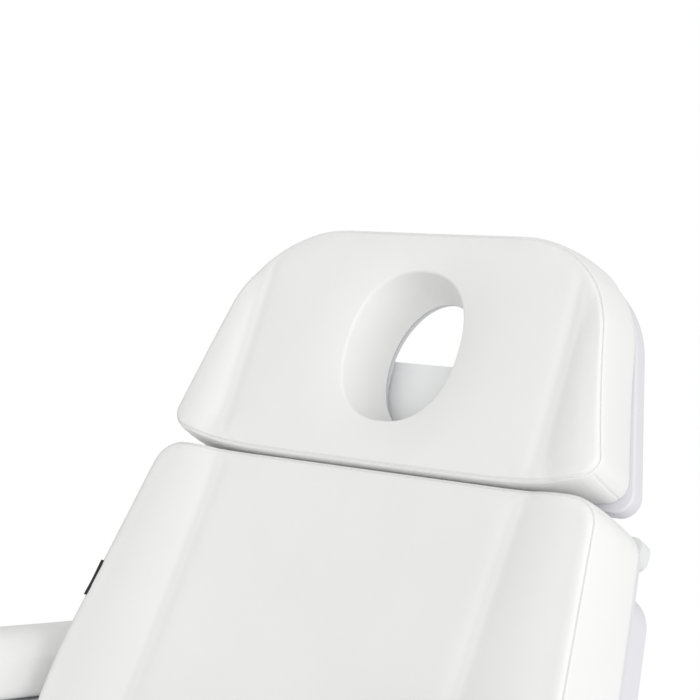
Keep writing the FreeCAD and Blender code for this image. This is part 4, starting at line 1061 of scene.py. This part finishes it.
def add_floor():
    """Round pale floor: rings about the chair's middle, and four-sided wedges inside the first."""
    turn = np.linspace(0.0, 2 * math.pi, FLOOR_SIDES, endpoint=False)
    circle = np.stack([np.cos(turn), np.sin(turn), np.zeros_like(turn)], axis=-1)
    rings = np.array(FLOOR_RINGS)[:, None, None] * circle
    points = np.concatenate([rings.reshape(-1, 3), np.zeros((1, 3))])
    numbers = np.arange(len(FLOOR_RINGS) * FLOOR_SIDES).reshape(len(FLOOR_RINGS), FLOOR_SIDES)
    first = numbers[0]
    middle = np.full(FLOOR_SIDES // 2, numbers.size)
    wedges = np.stack([first[::2], first[1::2], np.roll(first, -2)[::2], middle], axis=-1)
    floor = add_mesh("floor", points, np.concatenate([wall_quads(numbers), wedges]))
    floor.data.materials.append(floor_finish())


def add_surround():
    """White surround: full white to the camera and in gloss, and weaker as a light."""
    world = bpy.data.worlds.new("surround")
    scene.world = world
    world.use_nodes = True
    nodes = Nodes(world.node_tree)
    white = (1.0, 1.0, 1.0)
    light = nodes.tree.nodes["Background"]
    nodes.put(light.inputs["Color"], white)
    nodes.put(light.inputs["Strength"], SURROUND_LIGHT)
    lit = Flow(nodes, light.outputs["Background"])
    shown = nodes.node("ShaderNodeBackground", {}, Color=white, Strength=1.0)
    camera_ray = nodes.node("ShaderNodeLightPath", {}, output="Is Camera Ray")
    glossy_ray = nodes.node("ShaderNodeLightPath", {}, output="Is Glossy Ray")
    seen = camera_ray.math("MAXIMUM", camera_ray, glossy_ray)
    mixed = nodes.node("ShaderNodeMixShader", {}, seen, lit, shown)
    nodes.put(nodes.tree.nodes["World Output"].inputs["Surface"], mixed)


def add_aimed(name, data, place, look):
    """A lamp or camera at a place, upright, that looks in a direction."""
    holder = bpy.data.objects.new(name, data)
    holder.location = place
    holder.rotation_mode = "QUATERNION"
    holder.rotation_quaternion = look.to_track_quat("-Z", "Y")
    scene.collection.objects.link(holder)
    return holder


def add_lamps():
    """Square soft lamps that look at the middle of the backrest."""
    for name, (place, size, power) in LAMPS.items():
        lamp = bpy.data.lights.new(name, "AREA")
        lamp.size = size
        lamp.energy = power
        add_aimed(name, lamp, place, Vector(LAMP_AIM) - Vector(place))


def add_camera():
    """Camera at the photograph's angle: it stands a step from the backrest's upper edge."""
    bearing, fall = math.radians(CAMERA_BEARING), math.radians(CAMERA_FALL)
    camera = bpy.data.cameras.new("camera")
    camera.lens = CAMERA_LENS
    camera.sensor_width = CAMERA_SENSOR
    top = BACKREST_OUTLINE[-1][1]
    place = back_place.world((0.0, top, CUSHION_FRONT)) + np.array(CAMERA_STEP)
    level = math.cos(fall)
    look = Vector((-math.sin(bearing) * level, math.cos(bearing) * level, -math.sin(fall)))
    scene.camera = add_aimed("camera", camera, place, look)


dress_frame()
add_camera()
add_upholstery()
add_headrest_board()
add_side_tag()
add_floor()
add_surround()
add_lamps()
scene.view_settings.view_transform = "Standard"
